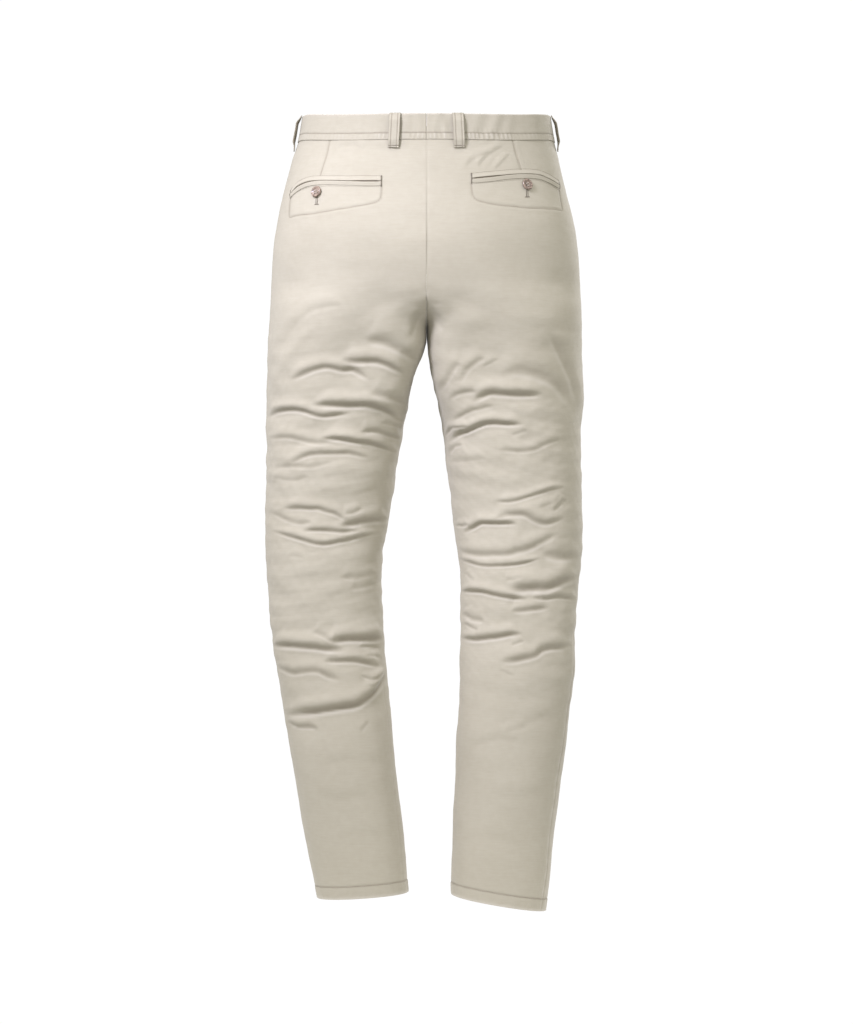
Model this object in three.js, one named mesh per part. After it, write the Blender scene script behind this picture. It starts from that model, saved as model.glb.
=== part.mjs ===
// Straight-leg chino trousers, filled out as they are when worn and held at the waist.
// Millimetres, +Z up, +X to the wearer's left, the front faces -Y.
// The origin is the centre of the waistband's ring, halfway up the waistband.
//
// Each leg is a tube of rings that runs from the waist to the hem. Above the crotch a ring reaches
// past the middle plane and is cut there, so the centre seams and the crotch curve follow from the
// same rings as the legs. The angle round a ring is 0 at the inseam, a quarter turn at the front,
// a half turn at the outseam and three quarters at the back.
import * as THREE from "three";

// Driving dimensions
const layer = 1.2; // wall of one layer of twill
const gap = 0.3; // between two pieces at a seam
const bandHeight = 34;
const bandWall = 2.2; // the folded and interlined waistband
const bandProud = 0.4; // how far the waistband stands out from the cloth below it
const crotchHeight = -255;
const splitHeight = -203; // where the rings start to part into two legs
const crotchRound = 0.4; // fullness of the crotch curve's lowest part, from 0 to 2
const hemFold = 15.5; // depth of the turned-up hem
const hemGroove = 0.7;
const loopWidth = 14.5;
const loopWall = 1.6;
const loopStandOff = 3.2; // room for a belt strap behind the loop
const loopDrop = 12; // the loop's lower end, below the waistband seam
const loopFromCentre = 41; // of a back loop, from the centre back
const loopPastSide = 10; // of a side loop, behind the outseam
const loopFromFront = 92; // of a front loop, from the centre front
const pocketLength = 142;
const pocketFromCentre = 58; // from the centre back seam to the pocket's inner end
const weltWidth = 5.4;
const mouthWidth = 1;
const slantTopInset = 42; // front pocket mouth, from the outseam at the waist
const slantDepth = 168; // front pocket mouth, down the outseam
const facingOverlap = 22; // of the front pocket facing, under the front panel
const facingDepth = 2.4; // of the front pocket facing at the mouth, below the front panel's face
const flyWidth = 38;
const flyLength = 165;
const bandOverlap = 14; // of the left waistband end, past the centre front
const bandUnderlap = 26; // of the right waistband end, beneath it
const pocketButton = 15;
const waistButton = 17;
const buttonThick = 2.8;

const cottonBeige = "#cfc6b4";
const hornBrown = "#86685a";

const bandTop = bandHeight / 2;
const bandSeam = -bandHeight / 2;
const turn = 2 * Math.PI;
const frontAngle = turn / 4;
const sideAngle = turn / 2;
const backAngle = (3 * turn) / 4;

// From the side: the front and back of the rings, and how square they are.
const profile = [
  { z: 17, front: -112, back: 112, square: 2.25 },
  { z: -17, front: -115, back: 116, square: 2.25 },
  { z: -42, front: -118, back: 121, square: 2.25 },
  { z: -82, front: -122, back: 129, square: 2.3 },
  { z: -123, front: -124, back: 136, square: 2.3 },
  { z: -163, front: -124, back: 138, square: 2.25 },
  { z: -204, front: -121, back: 130, square: 2.2 },
  { z: -255, front: -112, back: 112, square: 2.15 },
  { z: -325, front: -101, back: 91, square: 2.1 },
  { z: -406, front: -92, back: 74, square: 2.1 },
  { z: -487, front: -85, back: 64, square: 2.1 },
  { z: -560, front: -79, back: 58, square: 2.1 },
  { z: -609, front: -75, back: 58, square: 2.1 },
  { z: -690, front: -66, back: 63, square: 2.1 },
  { z: -771, front: -58, back: 70, square: 2.1 },
  { z: -852, front: -49, back: 77, square: 2.1 },
  { z: -933, front: -40, back: 82, square: 2.1 },
  { z: -1015, front: -32, back: 87, square: 2.1 },
];

// From behind: the outer and inner reach from the middle, and the seams' turn in degrees.
const outline = {
  left: [
    { z: 17, outer: 163.5, inner: 0, turned: 0 },
    { z: -17, outer: 169.5, inner: 0, turned: 0 },
    { z: -42, outer: 177.5, inner: 0, turned: 0 },
    { z: -82, outer: 188, inner: 0, turned: 0 },
    { z: -123, outer: 196.5, inner: 0, turned: 0 },
    { z: -163, outer: 202, inner: 0, turned: 0 },
    { z: -204, outer: 204.5, inner: 0, turned: 0 },
    { z: -255, outer: 207, inner: 0, turned: 0 },
    { z: -285, outer: 209.5, inner: 2, turned: 0 },
    { z: -325, outer: 211, inner: 15.5, turned: 0 },
    { z: -406, outer: 211.5, inner: 31.5, turned: 0 },
    { z: -487, outer: 213, inner: 46.5, turned: 0 },
    { z: -560, outer: 213.5, inner: 57.5, turned: -3 },
    { z: -609, outer: 209.5, inner: 59, turned: -8 },
    { z: -690, outer: 201, inner: 54.5, turned: -15 },
    { z: -771, outer: 186.5, inner: 46.5, turned: -20 },
    { z: -852, outer: 171.5, inner: 37.5, turned: -24 },
    { z: -933, outer: 157, inner: 29.5, turned: -27 },
    { z: -1005, outer: 144, inner: 23, turned: -30 },
  ],
  right: [
    { z: 17, outer: 163.5, inner: 0, turned: 0 },
    { z: -17, outer: 169, inner: 0, turned: 0 },
    { z: -42, outer: 175, inner: 0, turned: 0 },
    { z: -82, outer: 184, inner: 0, turned: 0 },
    { z: -123, outer: 194, inner: 0, turned: 0 },
    { z: -163, outer: 199.5, inner: 0, turned: 0 },
    { z: -204, outer: 202.5, inner: 0, turned: 0 },
    { z: -255, outer: 205, inner: 0, turned: 0 },
    { z: -285, outer: 205.5, inner: 1.5, turned: 0 },
    { z: -325, outer: 205, inner: 8.5, turned: 0 },
    { z: -406, outer: 205, inner: 22, turned: 0 },
    { z: -487, outer: 205, inner: 32, turned: 0 },
    { z: -560, outer: 204.5, inner: 40.5, turned: 3 },
    { z: -609, outer: 201, inner: 43, turned: 8 },
    { z: -690, outer: 196, inner: 45.5, turned: 15 },
    { z: -771, outer: 187.5, inner: 42, turned: 20 },
    { z: -852, outer: 177, inner: 37.5, turned: 24 },
    { z: -933, outer: 166.5, inner: 34.5, turned: 27 },
    { z: -1015, outer: 157, inner: 32, turned: 30 },
  ],
};
const hemTiltFrom = -650; // above this the rings are level

// Folds: from one end to the other, as reach from the middle and height, with the bow of the fold's
// line upwards, the depth of its crease, and its width. The back ones follow the shape as worn, with
// the knees a little bent, and the front ones are like them.
const folds = {
  left: {
    back: [
      { x0: 178, z0: -335, x1: 80, z1: -335, bow: 18, depth: 3, width: 15 },
      { x0: 148, z0: -371, x1: 33, z1: -394, bow: 16, depth: 5.5, width: 13 },
      { x0: 214, z0: -384, x1: 106, z1: -387, bow: 5, depth: 4.5, width: 12 },
      { x0: 137, z0: -414, x1: 42, z1: -432, bow: 5, depth: 4.5, width: 11 },
      { x0: 180, z0: -448, x1: 62, z1: -440, bow: 10, depth: 4, width: 12 },
      { x0: 213, z0: -511, x1: 113, z1: -520, bow: 9, depth: 3.5, width: 13 },
      { x0: 118, z0: -534, x1: 52, z1: -521, bow: 6, depth: 4.5, width: 11 },
      { x0: 180, z0: -540, x1: 62, z1: -543, bow: -8, depth: 3.5, width: 11 },
      { x0: 206, z0: -690, x1: 108, z1: -701, bow: 2, depth: 5.5, width: 12 },
      { x0: 128, z0: -685, x1: 56, z1: -683, bow: 10, depth: 4.5, width: 11 },
      { x0: 200, z0: -716, x1: 60, z1: -720, bow: 3, depth: 4, width: 11 },
      { x0: 187, z0: -789, x1: 51, z1: -732, bow: -16, depth: 7.5, width: 17 },
    ],
    front: [
      { x0: 20, z0: -232, x1: 130, z1: -190, bow: 6, depth: 3, width: 15 },
      { x0: 22, z0: -300, x1: 150, z1: -262, bow: 8, depth: 3.5, width: 15 },
      { x0: 60, z0: -604, x1: 180, z1: -590, bow: -8, depth: 3, width: 14 },
      { x0: 200, z0: -676, x1: 90, z1: -690, bow: -8, depth: 4, width: 14 },
      { x0: 60, z0: -745, x1: 170, z1: -760, bow: -9, depth: 4, width: 14 },
    ],
  },
  right: {
    back: [
      { x0: 68, z0: -364, x1: 146, z1: -356, bow: 12, depth: 4, width: 13 },
      { x0: 32, z0: -417, x1: 130, z1: -396, bow: 11, depth: 5, width: 12 },
      { x0: 96, z0: -502, x1: 180, z1: -485, bow: 3, depth: 3.5, width: 12 },
      { x0: 50, z0: -542, x1: 122, z1: -527, bow: 10, depth: 4.5, width: 11 },
      { x0: 88, z0: -524, x1: 178, z1: -521, bow: 7, depth: 3, width: 11 },
      { x0: 42, z0: -572, x1: 178, z1: -570, bow: -2, depth: 3, width: 12 },
      { x0: 112, z0: -617, x1: 200, z1: -599, bow: 2, depth: 4.5, width: 11 },
      { x0: 46, z0: -618, x1: 133, z1: -630, bow: 3, depth: 4.5, width: 11 },
      { x0: 46, z0: -684, x1: 126, z1: -673, bow: -2, depth: 5, width: 12 },
      { x0: 100, z0: -713, x1: 192, z1: -692, bow: 0, depth: 4, width: 12 },
    ],
    front: [
      { x0: 20, z0: -228, x1: 125, z1: -184, bow: 5, depth: 3, width: 15 },
      { x0: 20, z0: -312, x1: 142, z1: -270, bow: 8, depth: 3.5, width: 15 },
      { x0: 50, z0: -590, x1: 170, z1: -604, bow: -8, depth: 3, width: 14 },
      { x0: 52, z0: -688, x1: 160, z1: -672, bow: -7, depth: 4, width: 14 },
      { x0: 176, z0: -752, x1: 66, z1: -772, bow: -8, depth: 3.5, width: 14 },
    ],
  },
};

// Back pocket mouths: height along the mouth, from its inner end.
const pocketMouth = {
  left: [
    { run: 0, z: -78 },
    { run: 40, z: -77 },
    { run: 98, z: -75 },
    { run: 124, z: -80 },
    { run: 142, z: -89 },
  ],
  right: [
    { run: 0, z: -74.5 },
    { run: 37, z: -70 },
    { run: 65, z: -67 },
    { run: 96, z: -66.5 },
    { run: 116, z: -70.5 },
    { run: 142, z: -77 },
  ],
};

const legs = {
  left: { side: "left", sign: 1, hemTilt: -4.2, buttonRun: 90, buttonDrop: 15 },
  right: { side: "right", sign: -1, hemTilt: -10.6, buttonRun: 77, buttonDrop: 14 },
};

function clamp(t, low = 0, high = 1) {
  return Math.min(high, Math.max(low, t));
}

function ease(t) {
  const s = clamp(t);
  return s * s * (3 - 2 * s);
}

// The smooth curve through one column of a table whose rows run along key.
function along(table, column, where, key = "z") {
  const last = table.length - 1;
  const up = table[last][key] > table[0][key] ? 1 : -1;
  const spot = clamp(where * up, table[0][key] * up, table[last][key] * up) * up;
  let i = 0;
  while (i < last - 1 && spot * up > table[i + 1][key] * up) i += 1;
  const slope = (k) => {
    const before = table[Math.max(0, k - 1)];
    const after = table[Math.min(last, k + 1)];
    return (after[column] - before[column]) / (after[key] - before[key]);
  };
  const width = table[i + 1][key] - table[i][key];
  const t = (spot - table[i][key]) / width;
  const t2 = t * t;
  const t3 = t2 * t;
  return (
    (2 * t3 - 3 * t2 + 1) * table[i][column] +
    (t3 - 2 * t2 + t) * width * slope(i) +
    (3 * t2 - 2 * t3) * table[i + 1][column] +
    (t3 - t2) * width * slope(i + 1)
  );
}

function hemOf(leg) {
  return outline[leg.side].at(-1).z;
}

// The ring of one leg at a height: its centre, half width, half depth and the angle where it is cut.
function ringAt(leg, z) {
  const table = outline[leg.side];
  const front = along(profile, "front", z);
  const back = along(profile, "back", z);
  const square = along(profile, "square", z);
  const reach = along(table, "outer", z);
  const turned = THREE.MathUtils.degToRad(along(table, "turned", z));
  const ring = { cy: (back + front) / 2, depth: (back - front) / 2, square, turned };
  if (z <= crotchHeight) {
    const inner = along(table, "inner", z);
    return { ...ring, cx: (reach + inner) / 2, width: (reach - inner) / 2, start: 0 };
  }
  const t = clamp((splitHeight - z) / (splitHeight - crotchHeight));
  const parted = t ** 2 * (1 + (2 - crotchRound) * (1 - t));
  const width = reach / (1 + parted);
  const start = parted > 0 ? Math.atan((parted ** -square - 1) ** (1 / square)) : frontAngle;
  return { ...ring, cx: parted * width, width, start };
}

// A point of the smooth skin, in the leg's own half, where x runs outwards from the middle.
function skinPoint(leg, angle, z) {
  const ring = ringAt(leg, z);
  const c = Math.cos(angle);
  const s = Math.sin(angle);
  const k = (Math.abs(c) ** ring.square + Math.abs(s) ** ring.square) ** (-1 / ring.square);
  const tilt = leg.hemTilt * ease((hemTiltFrom - z) / (hemTiltFrom - hemOf(leg)));
  return new THREE.Vector3(
    ring.cx - ring.width * c * k,
    ring.cy - ring.depth * s * k,
    z - tilt * c * k,
  );
}

// The outward normal of a skin, which is a function that gives its point for an angle and height.
function normalOf(skin, leg, angle, z) {
  const step = 0.01;
  const rise = 1.5;
  const aroundIt = skin(leg, angle + step, z).sub(skin(leg, angle - step, z));
  const downIt = skin(leg, angle, z - rise).sub(skin(leg, angle, z + rise));
  return downIt.cross(aroundIt).normalize();
}

// How far one fold lifts the skin at a reach and height: a soft bulge above a narrower crease.
function foldLift(fold, x, z) {
  const runX = fold.x1 - fold.x0;
  const runZ = fold.z1 - fold.z0;
  const length = Math.hypot(runX, runZ);
  const t = ((x - fold.x0) * runX + (z - fold.z0) * runZ) / length ** 2;
  if (t <= 0 || t >= 1) return 0;
  const up = Math.sign(runX);
  const across = (up * ((z - fold.z0) * runX - (x - fold.x0) * runZ)) / length;
  const d = (across - fold.bow * 4 * t * (1 - t)) / fold.width;
  const fade = Math.sin(Math.PI * t) ** 0.8;
  const bulge = 0.6 * Math.exp(-((d - 1.1) ** 2) / 0.7);
  const crease = Math.exp(-(d ** 2) / 0.45);
  return fade * fold.depth * (bulge - crease);
}

function relief(leg, point, normal) {
  const facing = { back: ease((normal.y + 0.3) / 0.7), front: ease((0.3 - normal.y) / 0.7) };
  let lift = 0;
  for (const face of ["back", "front"]) {
    if (facing[face] === 0) continue;
    for (const fold of folds[leg.side][face]) {
      lift += facing[face] * foldLift(fold, point.x, point.z);
    }
  }
  return lift;
}

function foldedPoint(leg, angle, z) {
  const point = skinPoint(leg, angle, z);
  const normal = normalOf(skinPoint, leg, angle, z);
  return point.addScaledVector(normal, relief(leg, point, normal));
}

// The folded skin moved out by an amount. Panels stop short of the middle plane.
function cloth(leg, angle, z, out, pastMiddle = false) {
  const point = foldedPoint(leg, angle, z);
  point.addScaledVector(normalOf(foldedPoint, leg, angle, z), out);
  if (!pastMiddle) point.x = Math.max(point.x, gap / 2);
  return point;
}

// The angle at a distance round the skin from a starting angle; a negative distance runs back.
function angleAfter(leg, from, z, distance) {
  const step = 0.005 * Math.sign(distance);
  let angle = from;
  let left = Math.abs(distance);
  let here = skinPoint(leg, angle, z);
  while (left > 0) {
    const next = skinPoint(leg, angle + step, z);
    const moved = next.distanceTo(here);
    if (moved >= left) return angle + (step * left) / moved;
    left -= moved;
    angle += step;
    here = next;
  }
  return angle;
}

// A closed wall from rows of places on the cloth. A place has the leg, the angle and height, how
// far out its outer skin lies, and whether it may pass the middle plane.
function wallFrom(places, thickness, sign) {
  const rows = places.length;
  const columns = places[0].length;
  const skinOf = (sunk) =>
    places.map((row) =>
      row.map((p) => cloth(p.leg, p.angle, p.z, (p.out ?? 0) - sunk, p.pastMiddle)),
    );
  const outer = skinOf(0);
  const inner = skinOf(thickness);
  const positions = [];
  for (const skin of [outer, inner]) {
    for (const row of skin) {
      for (const p of row) positions.push(sign * p.x, p.y, p.z);
    }
  }
  const outerAt = (i, j) => i * columns + j;
  const innerAt = (i, j) => rows * columns + i * columns + j;
  const faces = [];
  const quad = (a, b, c, d) => faces.push([a, b, c], [a, c, d]);
  for (let i = 0; i + 1 < rows; i += 1) {
    for (let j = 0; j + 1 < columns; j += 1) {
      quad(outerAt(i, j), outerAt(i + 1, j), outerAt(i + 1, j + 1), outerAt(i, j + 1));
      quad(innerAt(i, j), innerAt(i, j + 1), innerAt(i + 1, j + 1), innerAt(i + 1, j));
    }
    quad(outerAt(i, 0), innerAt(i, 0), innerAt(i + 1, 0), outerAt(i + 1, 0));
    const j = columns - 1;
    quad(outerAt(i, j), outerAt(i + 1, j), innerAt(i + 1, j), innerAt(i, j));
  }
  for (let j = 0; j + 1 < columns; j += 1) {
    quad(outerAt(0, j), outerAt(0, j + 1), innerAt(0, j + 1), innerAt(0, j));
    const i = rows - 1;
    quad(outerAt(i, j), innerAt(i, j), innerAt(i, j + 1), outerAt(i, j + 1));
  }
  const geometry = new THREE.BufferGeometry();
  geometry.setAttribute("position", new THREE.Float32BufferAttribute(positions, 3));
  geometry.setIndex(faces.flatMap((f) => (sign > 0 ? f : [f[0], f[2], f[1]])));
  geometry.computeVertexNormals();
  return geometry;
}

const cottonFinish = new THREE.MeshStandardMaterial({
  color: cottonBeige,
  roughness: 0.85,
  metalness: 0,
});
const hornFinish = new THREE.MeshStandardMaterial({
  color: hornBrown,
  roughness: 0.4,
  metalness: 0,
});

const trousers = new THREE.Group();

function addPiece(name, geometry, material = cottonFinish) {
  const mesh = new THREE.Mesh(geometry, material);
  mesh.name = name;
  trousers.add(mesh);
  return mesh;
}

function evenly(from, to, count) {
  return Array.from({ length: count + 1 }, (_, i) => from + ((to - from) * i) / count);
}

// Heights of a panel's rows: closer where the folds are and where the crotch curve turns.
function panelHeights(leg) {
  const hem = hemOf(leg);
  const crotchCurve = evenly(0, frontAngle, 8).map(
    (t) => splitHeight + (crotchHeight - splitHeight) * Math.sin(t),
  );
  return [
    ...evenly(bandSeam - gap, splitHeight, 6).slice(0, -1),
    ...crotchCurve,
    ...evenly(crotchHeight, -340, 4).slice(1),
    ...evenly(-340, -450, 8).slice(1),
    ...evenly(-450, -500, 3).slice(1),
    ...evenly(-500, -640, 9).slice(1),
    ...evenly(-640, -800, 12).slice(1),
    ...evenly(-800, hem + hemFold + 5, 4).slice(1),
    hem + hemFold,
    hem + hemFold - 5,
    hem,
  ];
}

// Where the front panel stops at the side: at the pocket mouth, which slants down to the outseam.
function mouthInset(z) {
  return slantTopInset * clamp((z - bandSeam + slantDepth) / slantDepth) ** 0.9;
}

function frontEdge(leg, z) {
  const side = sideAngle + ringAt(leg, z).turned;
  return mouthInset(z) > 0 ? angleAfter(leg, side, z, -mouthInset(z)) : side;
}

// One row of a panel from its side to its inner edge. Where the crotch curve cuts the ring short by
// an angle, it is mostly the columns next to the curve that give way.
function panelRow(leg, z, side, closed, columns) {
  const { start } = ringAt(leg, z);
  const toFront = Math.sign(closed - side);
  const crowding = clamp(0.5 + (0.5 * frontAngle) / Math.max(start, 0.01), 1, 4);
  const first = angleAfter(leg, side, z, (toFront * gap) / 2);
  const last = angleAfter(leg, closed - toFront * start, z, (-toFront * gap) / 2);
  const cut = last - closed;
  const out = Math.abs(z - hemOf(leg) - hemFold) < 1 ? -hemGroove : 0;
  return evenly(0, 1, columns).map((u) => {
    const angle = first + (closed - first) * u + cut * u ** crowding;
    return { leg, angle, z, out };
  });
}

function makeBackPanel(leg) {
  const grid = panelHeights(leg).map((z) => {
    const { turned } = ringAt(leg, z);
    return panelRow(leg, z, sideAngle + turned, turn + turned, 14);
  });
  addPiece(`back_panel_${leg.side}`, wallFrom(grid, layer, leg.sign));
}

function makeFrontPanel(leg) {
  const grid = panelHeights(leg).map((z) =>
    panelRow(leg, z, frontEdge(leg, z), ringAt(leg, z).turned, 10).reverse(),
  );
  addPiece(`front_panel_${leg.side}`, wallFrom(grid, layer, leg.sign));
}

// The piece of cloth that shows in the front pocket's mouth and runs on beneath the front panel.
function makePocketFacing(leg) {
  const grid = evenly(bandSeam - gap, bandSeam - slantDepth - 4, 10).map((z) => {
    const mouth = frontEdge(leg, z);
    const from = angleAfter(leg, mouth, z, -facingOverlap);
    const to = angleAfter(leg, sideAngle, z, -gap / 2);
    const hidden = evenly(from, mouth, 2).slice(0, -1);
    const shown = evenly(mouth, to, 4);
    return [...hidden, ...shown].map((angle, i) => {
      const rise = ease((mouthInset(z) * (i - 2)) / 4 / (slantTopInset * 0.6));
      return { leg, angle, z, out: -facingDepth * (1 - rise) };
    });
  });
  addPiece(`pocket_facing_${leg.side}`, wallFrom(grid, layer, leg.sign));
}

// Half of the waistband. The left end laps over the right one at the centre front.
function makeWaistband(leg) {
  const isLeft = leg.side === "left";
  const past = isLeft ? bandOverlap : bandUnderlap;
  const from = angleAfter(leg, frontAngle, 0, -past);
  const to = angleAfter(leg, backAngle, 0, -gap / 2);
  const dipEnd = angleAfter(leg, frontAngle, 0, 45);
  const dipStart = angleAfter(leg, frontAngle, 0, bandOverlap + 6);
  const grid = evenly(bandTop, bandSeam, 3).map((z) =>
    evenly(from, to, 26).map((angle) => {
      const dip = isLeft ? 0 : ease((dipEnd - angle) / (dipEnd - dipStart));
      const out = bandProud - dip * (bandWall + gap);
      return { leg, angle, z, out, pastMiddle: true };
    }),
  );
  addPiece(`waistband_${leg.side}`, wallFrom(grid, bandWall, leg.sign));
}

// The shield behind the fly, which hides the closure from within.
function makeFlyShield() {
  const leg = legs.right;
  const grid = evenly(bandSeam - gap, bandSeam - flyLength, 8).map((z, i) => {
    const narrow = 1 - 0.45 * ease((i - 5) / 3);
    const from = angleAfter(leg, frontAngle, z, -flyWidth * narrow);
    const to = angleAfter(leg, frontAngle, z, 10);
    const out = -layer - 3 * gap;
    return evenly(from, to, 5).map((angle) => ({ leg, angle, z, out, pastMiddle: true }));
  });
  addPiece("fly_shield", wallFrom(grid, layer, leg.sign));
}

// A loop for the belt: sewn at the waistband's top and below its seam, and standing off between.
function makeBeltLoop(leg, name, angle) {
  const low = bandSeam - loopDrop;
  const seat = bandProud + gap + loopWall;
  const grid = evenly(0, 1, 10).map((t) => {
    const z = bandTop + (low - bandTop) * t;
    const stand = loopStandOff * ease(t / 0.22) * ease((1 - t) / 0.22);
    const ends = [-loopWidth / 2, loopWidth / 2].map((w) => angleAfter(leg, angle, z, w));
    return ends.map((end) => ({ leg, angle: end, z, out: seat + stand, pastMiddle: true }));
  });
  addPiece(`belt_loop_${name}`, wallFrom(grid, loopWall, leg.sign));
}

// The angle of a point on the back, at a distance round from the centre back seam.
function backAngleAt(leg, z, distance) {
  return angleAfter(leg, turn - ringAt(leg, z).start, z, -distance);
}

function makeWelt(leg, name, upper) {
  const edges = upper
    ? [weltWidth + mouthWidth / 2, mouthWidth / 2]
    : [-mouthWidth / 2, -weltWidth - mouthWidth / 2];
  const grid = edges.map((rise) =>
    evenly(pocketLength, 0, 16).map((run) => {
      const z = along(pocketMouth[leg.side], "z", run, "run") + rise;
      return { leg, angle: backAngleAt(leg, z, pocketFromCentre + run), z, out: gap + layer };
    }),
  );
  addPiece(`${name}_welt_${leg.side}`, wallFrom(grid, layer - 0.2, leg.sign));
}

// A button with a raised rim, a dished face and a rounded edge, lying flat on the cloth.
function makeButton(name, leg, angle, z, diameter, lift) {
  const r = diameter / 2;
  const profile = [
    [0, 0],
    [r * 0.78, 0],
    [r, buttonThick * 0.42],
    [r * 0.96, buttonThick * 0.8],
    [r * 0.84, buttonThick],
    [r * 0.55, buttonThick * 0.66],
    [0, buttonThick * 0.6],
  ].map(([x, y]) => new THREE.Vector2(x, y));
  const mesh = addPiece(name, new THREE.LatheGeometry(profile, 16), hornFinish);
  const seat = cloth(leg, angle, z, lift, true);
  const normal = normalOf(foldedPoint, leg, angle, z);
  seat.x *= leg.sign;
  normal.x *= leg.sign;
  mesh.position.copy(seat);
  mesh.quaternion.setFromUnitVectors(new THREE.Vector3(0, 1, 0), normal);
}

function makePocketButton(leg) {
  const z = along(pocketMouth[leg.side], "z", leg.buttonRun, "run") - leg.buttonDrop;
  const angle = backAngleAt(leg, z, pocketFromCentre + leg.buttonRun);
  makeButton(`pocket_button_${leg.side}`, leg, angle, z, pocketButton, gap);
}

for (const leg of Object.values(legs)) {
  makeBackPanel(leg);
  makeFrontPanel(leg);
  makePocketFacing(leg);
  makeWaistband(leg);
  makeBeltLoop(leg, `back_${leg.side}`, angleAfter(leg, backAngle, 0, -loopFromCentre));
  makeBeltLoop(leg, `side_${leg.side}`, angleAfter(leg, sideAngle, 0, loopPastSide));
  makeBeltLoop(leg, `front_${leg.side}`, angleAfter(leg, frontAngle, 0, loopFromFront));
  makeWelt(leg, "upper", true);
  makeWelt(leg, "lower", false);
  makePocketButton(leg);
}
makeFlyShield();
makeButton("waist_button", legs.left, frontAngle, 0, waistButton, bandProud + gap);

export default trousers;
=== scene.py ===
import math

import bmesh
import bpy
import numpy as np
from mathutils import Matrix, Vector
from mathutils.bvhtree import BVHTree


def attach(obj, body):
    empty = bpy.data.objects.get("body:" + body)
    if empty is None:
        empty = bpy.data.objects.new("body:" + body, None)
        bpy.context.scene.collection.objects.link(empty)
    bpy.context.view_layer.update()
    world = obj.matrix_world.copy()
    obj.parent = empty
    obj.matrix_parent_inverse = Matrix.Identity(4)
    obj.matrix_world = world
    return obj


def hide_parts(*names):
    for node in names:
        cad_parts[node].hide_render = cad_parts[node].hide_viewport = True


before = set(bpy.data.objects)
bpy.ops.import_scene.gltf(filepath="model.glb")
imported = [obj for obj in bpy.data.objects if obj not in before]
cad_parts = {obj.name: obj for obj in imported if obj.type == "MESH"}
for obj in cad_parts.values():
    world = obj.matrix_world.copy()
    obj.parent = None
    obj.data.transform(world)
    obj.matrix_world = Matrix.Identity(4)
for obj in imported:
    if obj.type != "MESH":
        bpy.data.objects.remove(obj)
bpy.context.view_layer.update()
print("frame loaded")

# Shape of the worn trousers in millimetres: +X is the wearer's left, the front faces -Y.
# Angles round a leg: 0 at the inseam, a quarter turn at the front, a half turn at the outseam.
cut = dict(
    layer=1.2,          # one layer of twill
    gap=0.3,            # between two pieces at a seam
    bandHeight=34, bandWall=2.2, bandProud=0.4,
    crotch=-255, split=-203, crotchRound=0.4,
    pressedFrom=-192,   # the thighs press together below here
    meetTo=-277,        # the halves touch along the middle down to here
    hemTiltFrom=-650, waistDip=6.2,
)
bandTop = cut["bandHeight"] / 2
bandSeam = -bandTop
front, side, back, turn = math.pi / 2, math.pi, 1.5 * math.pi, 2 * math.pi

# height, front, back, squareness of the ring
profile = np.array([
    (17, -112, 112, 2.25), (-17, -115, 116, 2.25), (-42, -118, 121, 2.25), (-82, -122, 129, 2.3),
    (-123, -124, 136, 2.3), (-163, -124, 138, 2.25), (-204, -121, 130, 2.2), (-255, -112, 112, 2.15),
    (-325, -101, 91, 2.1), (-406, -92, 74, 2.1), (-487, -85, 64, 2.1), (-560, -79, 58, 2.1),
    (-609, -75, 58, 2.1), (-690, -66, 63, 2.1), (-771, -58, 70, 2.1), (-852, -49, 77, 2.1),
    (-933, -40, 82, 2.1), (-1015, -32, 87, 2.1),
], float)

# height, outer reach, inner reach, turn of the seams in degrees
outline = {
    "left": np.array([
        (17, 163.5, 0, 0), (-17, 169.5, 0, 0), (-42, 177.5, 0, 0), (-82, 188, 0, 0), (-123, 196.5, 0, 0),
        (-163, 202, 0, 0), (-204, 204.5, 0, 0), (-255, 207, 0, 0), (-285, 209.5, 0.9, 0), (-325, 211, 15.5, 0),
        (-406, 211.5, 31.5, 0), (-487, 213, 46.5, 0), (-560, 213.5, 57.5, -3), (-609, 209.5, 59, -8),
        (-690, 201, 54.5, -15), (-771, 186.5, 46.5, -20), (-852, 171.5, 37.5, -24), (-933, 157, 29.5, -27),
        (-1005, 144, 23, -30),
    ], float),
    "right": np.array([
        (17, 163.5, 0, 0), (-17, 169, 0, 0), (-42, 175, 0, 0), (-82, 184, 0, 0), (-123, 194, 0, 0),
        (-163, 199.5, 0, 0), (-204, 202.5, 0, 0), (-255, 205, 0, 0), (-285, 205.5, 0.7, 0),
        (-325, 205, 8.5, 0), (-406, 205, 22, 0), (-487, 205, 32, 0), (-560, 204.5, 40.5, 3),
        (-609, 201, 43, 8), (-690, 196, 45.5, 15), (-771, 187.5, 42, 20), (-852, 177, 37.5, 24),
        (-933, 166.5, 34.5, 27), (-1015, 157, 32, 30),
    ], float),
}
legs = {
    "left": dict(name="left", sign=1, hemTilt=-4.2),
    "right": dict(name="right", sign=-1, hemTilt=-10.6),
}


def ease(t):
    s = np.clip(t, 0, 1)
    return s * s * (3 - 2 * s)


def along(table, column, where):  # smooth curve through one column, as the solids have it
    x, y = table[::-1, 0], table[::-1, column]
    slope = np.gradient(y)
    slope[1:-1] = (y[2:] - y[:-2]) / (x[2:] - x[:-2])
    slope[0], slope[-1] = (y[1] - y[0]) / (x[1] - x[0]), (y[-1] - y[-2]) / (x[-1] - x[-2])
    spot = np.clip(where, x[0], x[-1])
    i = np.clip(np.searchsorted(x, spot, side="right") - 1, 0, len(x) - 2)
    w = x[i + 1] - x[i]
    t = (spot - x[i]) / w
    return ((2 * t**3 - 3 * t**2 + 1) * y[i] + (t**3 - 2 * t**2 + t) * w * slope[i]
            + (3 * t**2 - 2 * t**3) * y[i + 1] + (t**3 - t**2) * w * slope[i + 1])


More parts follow.
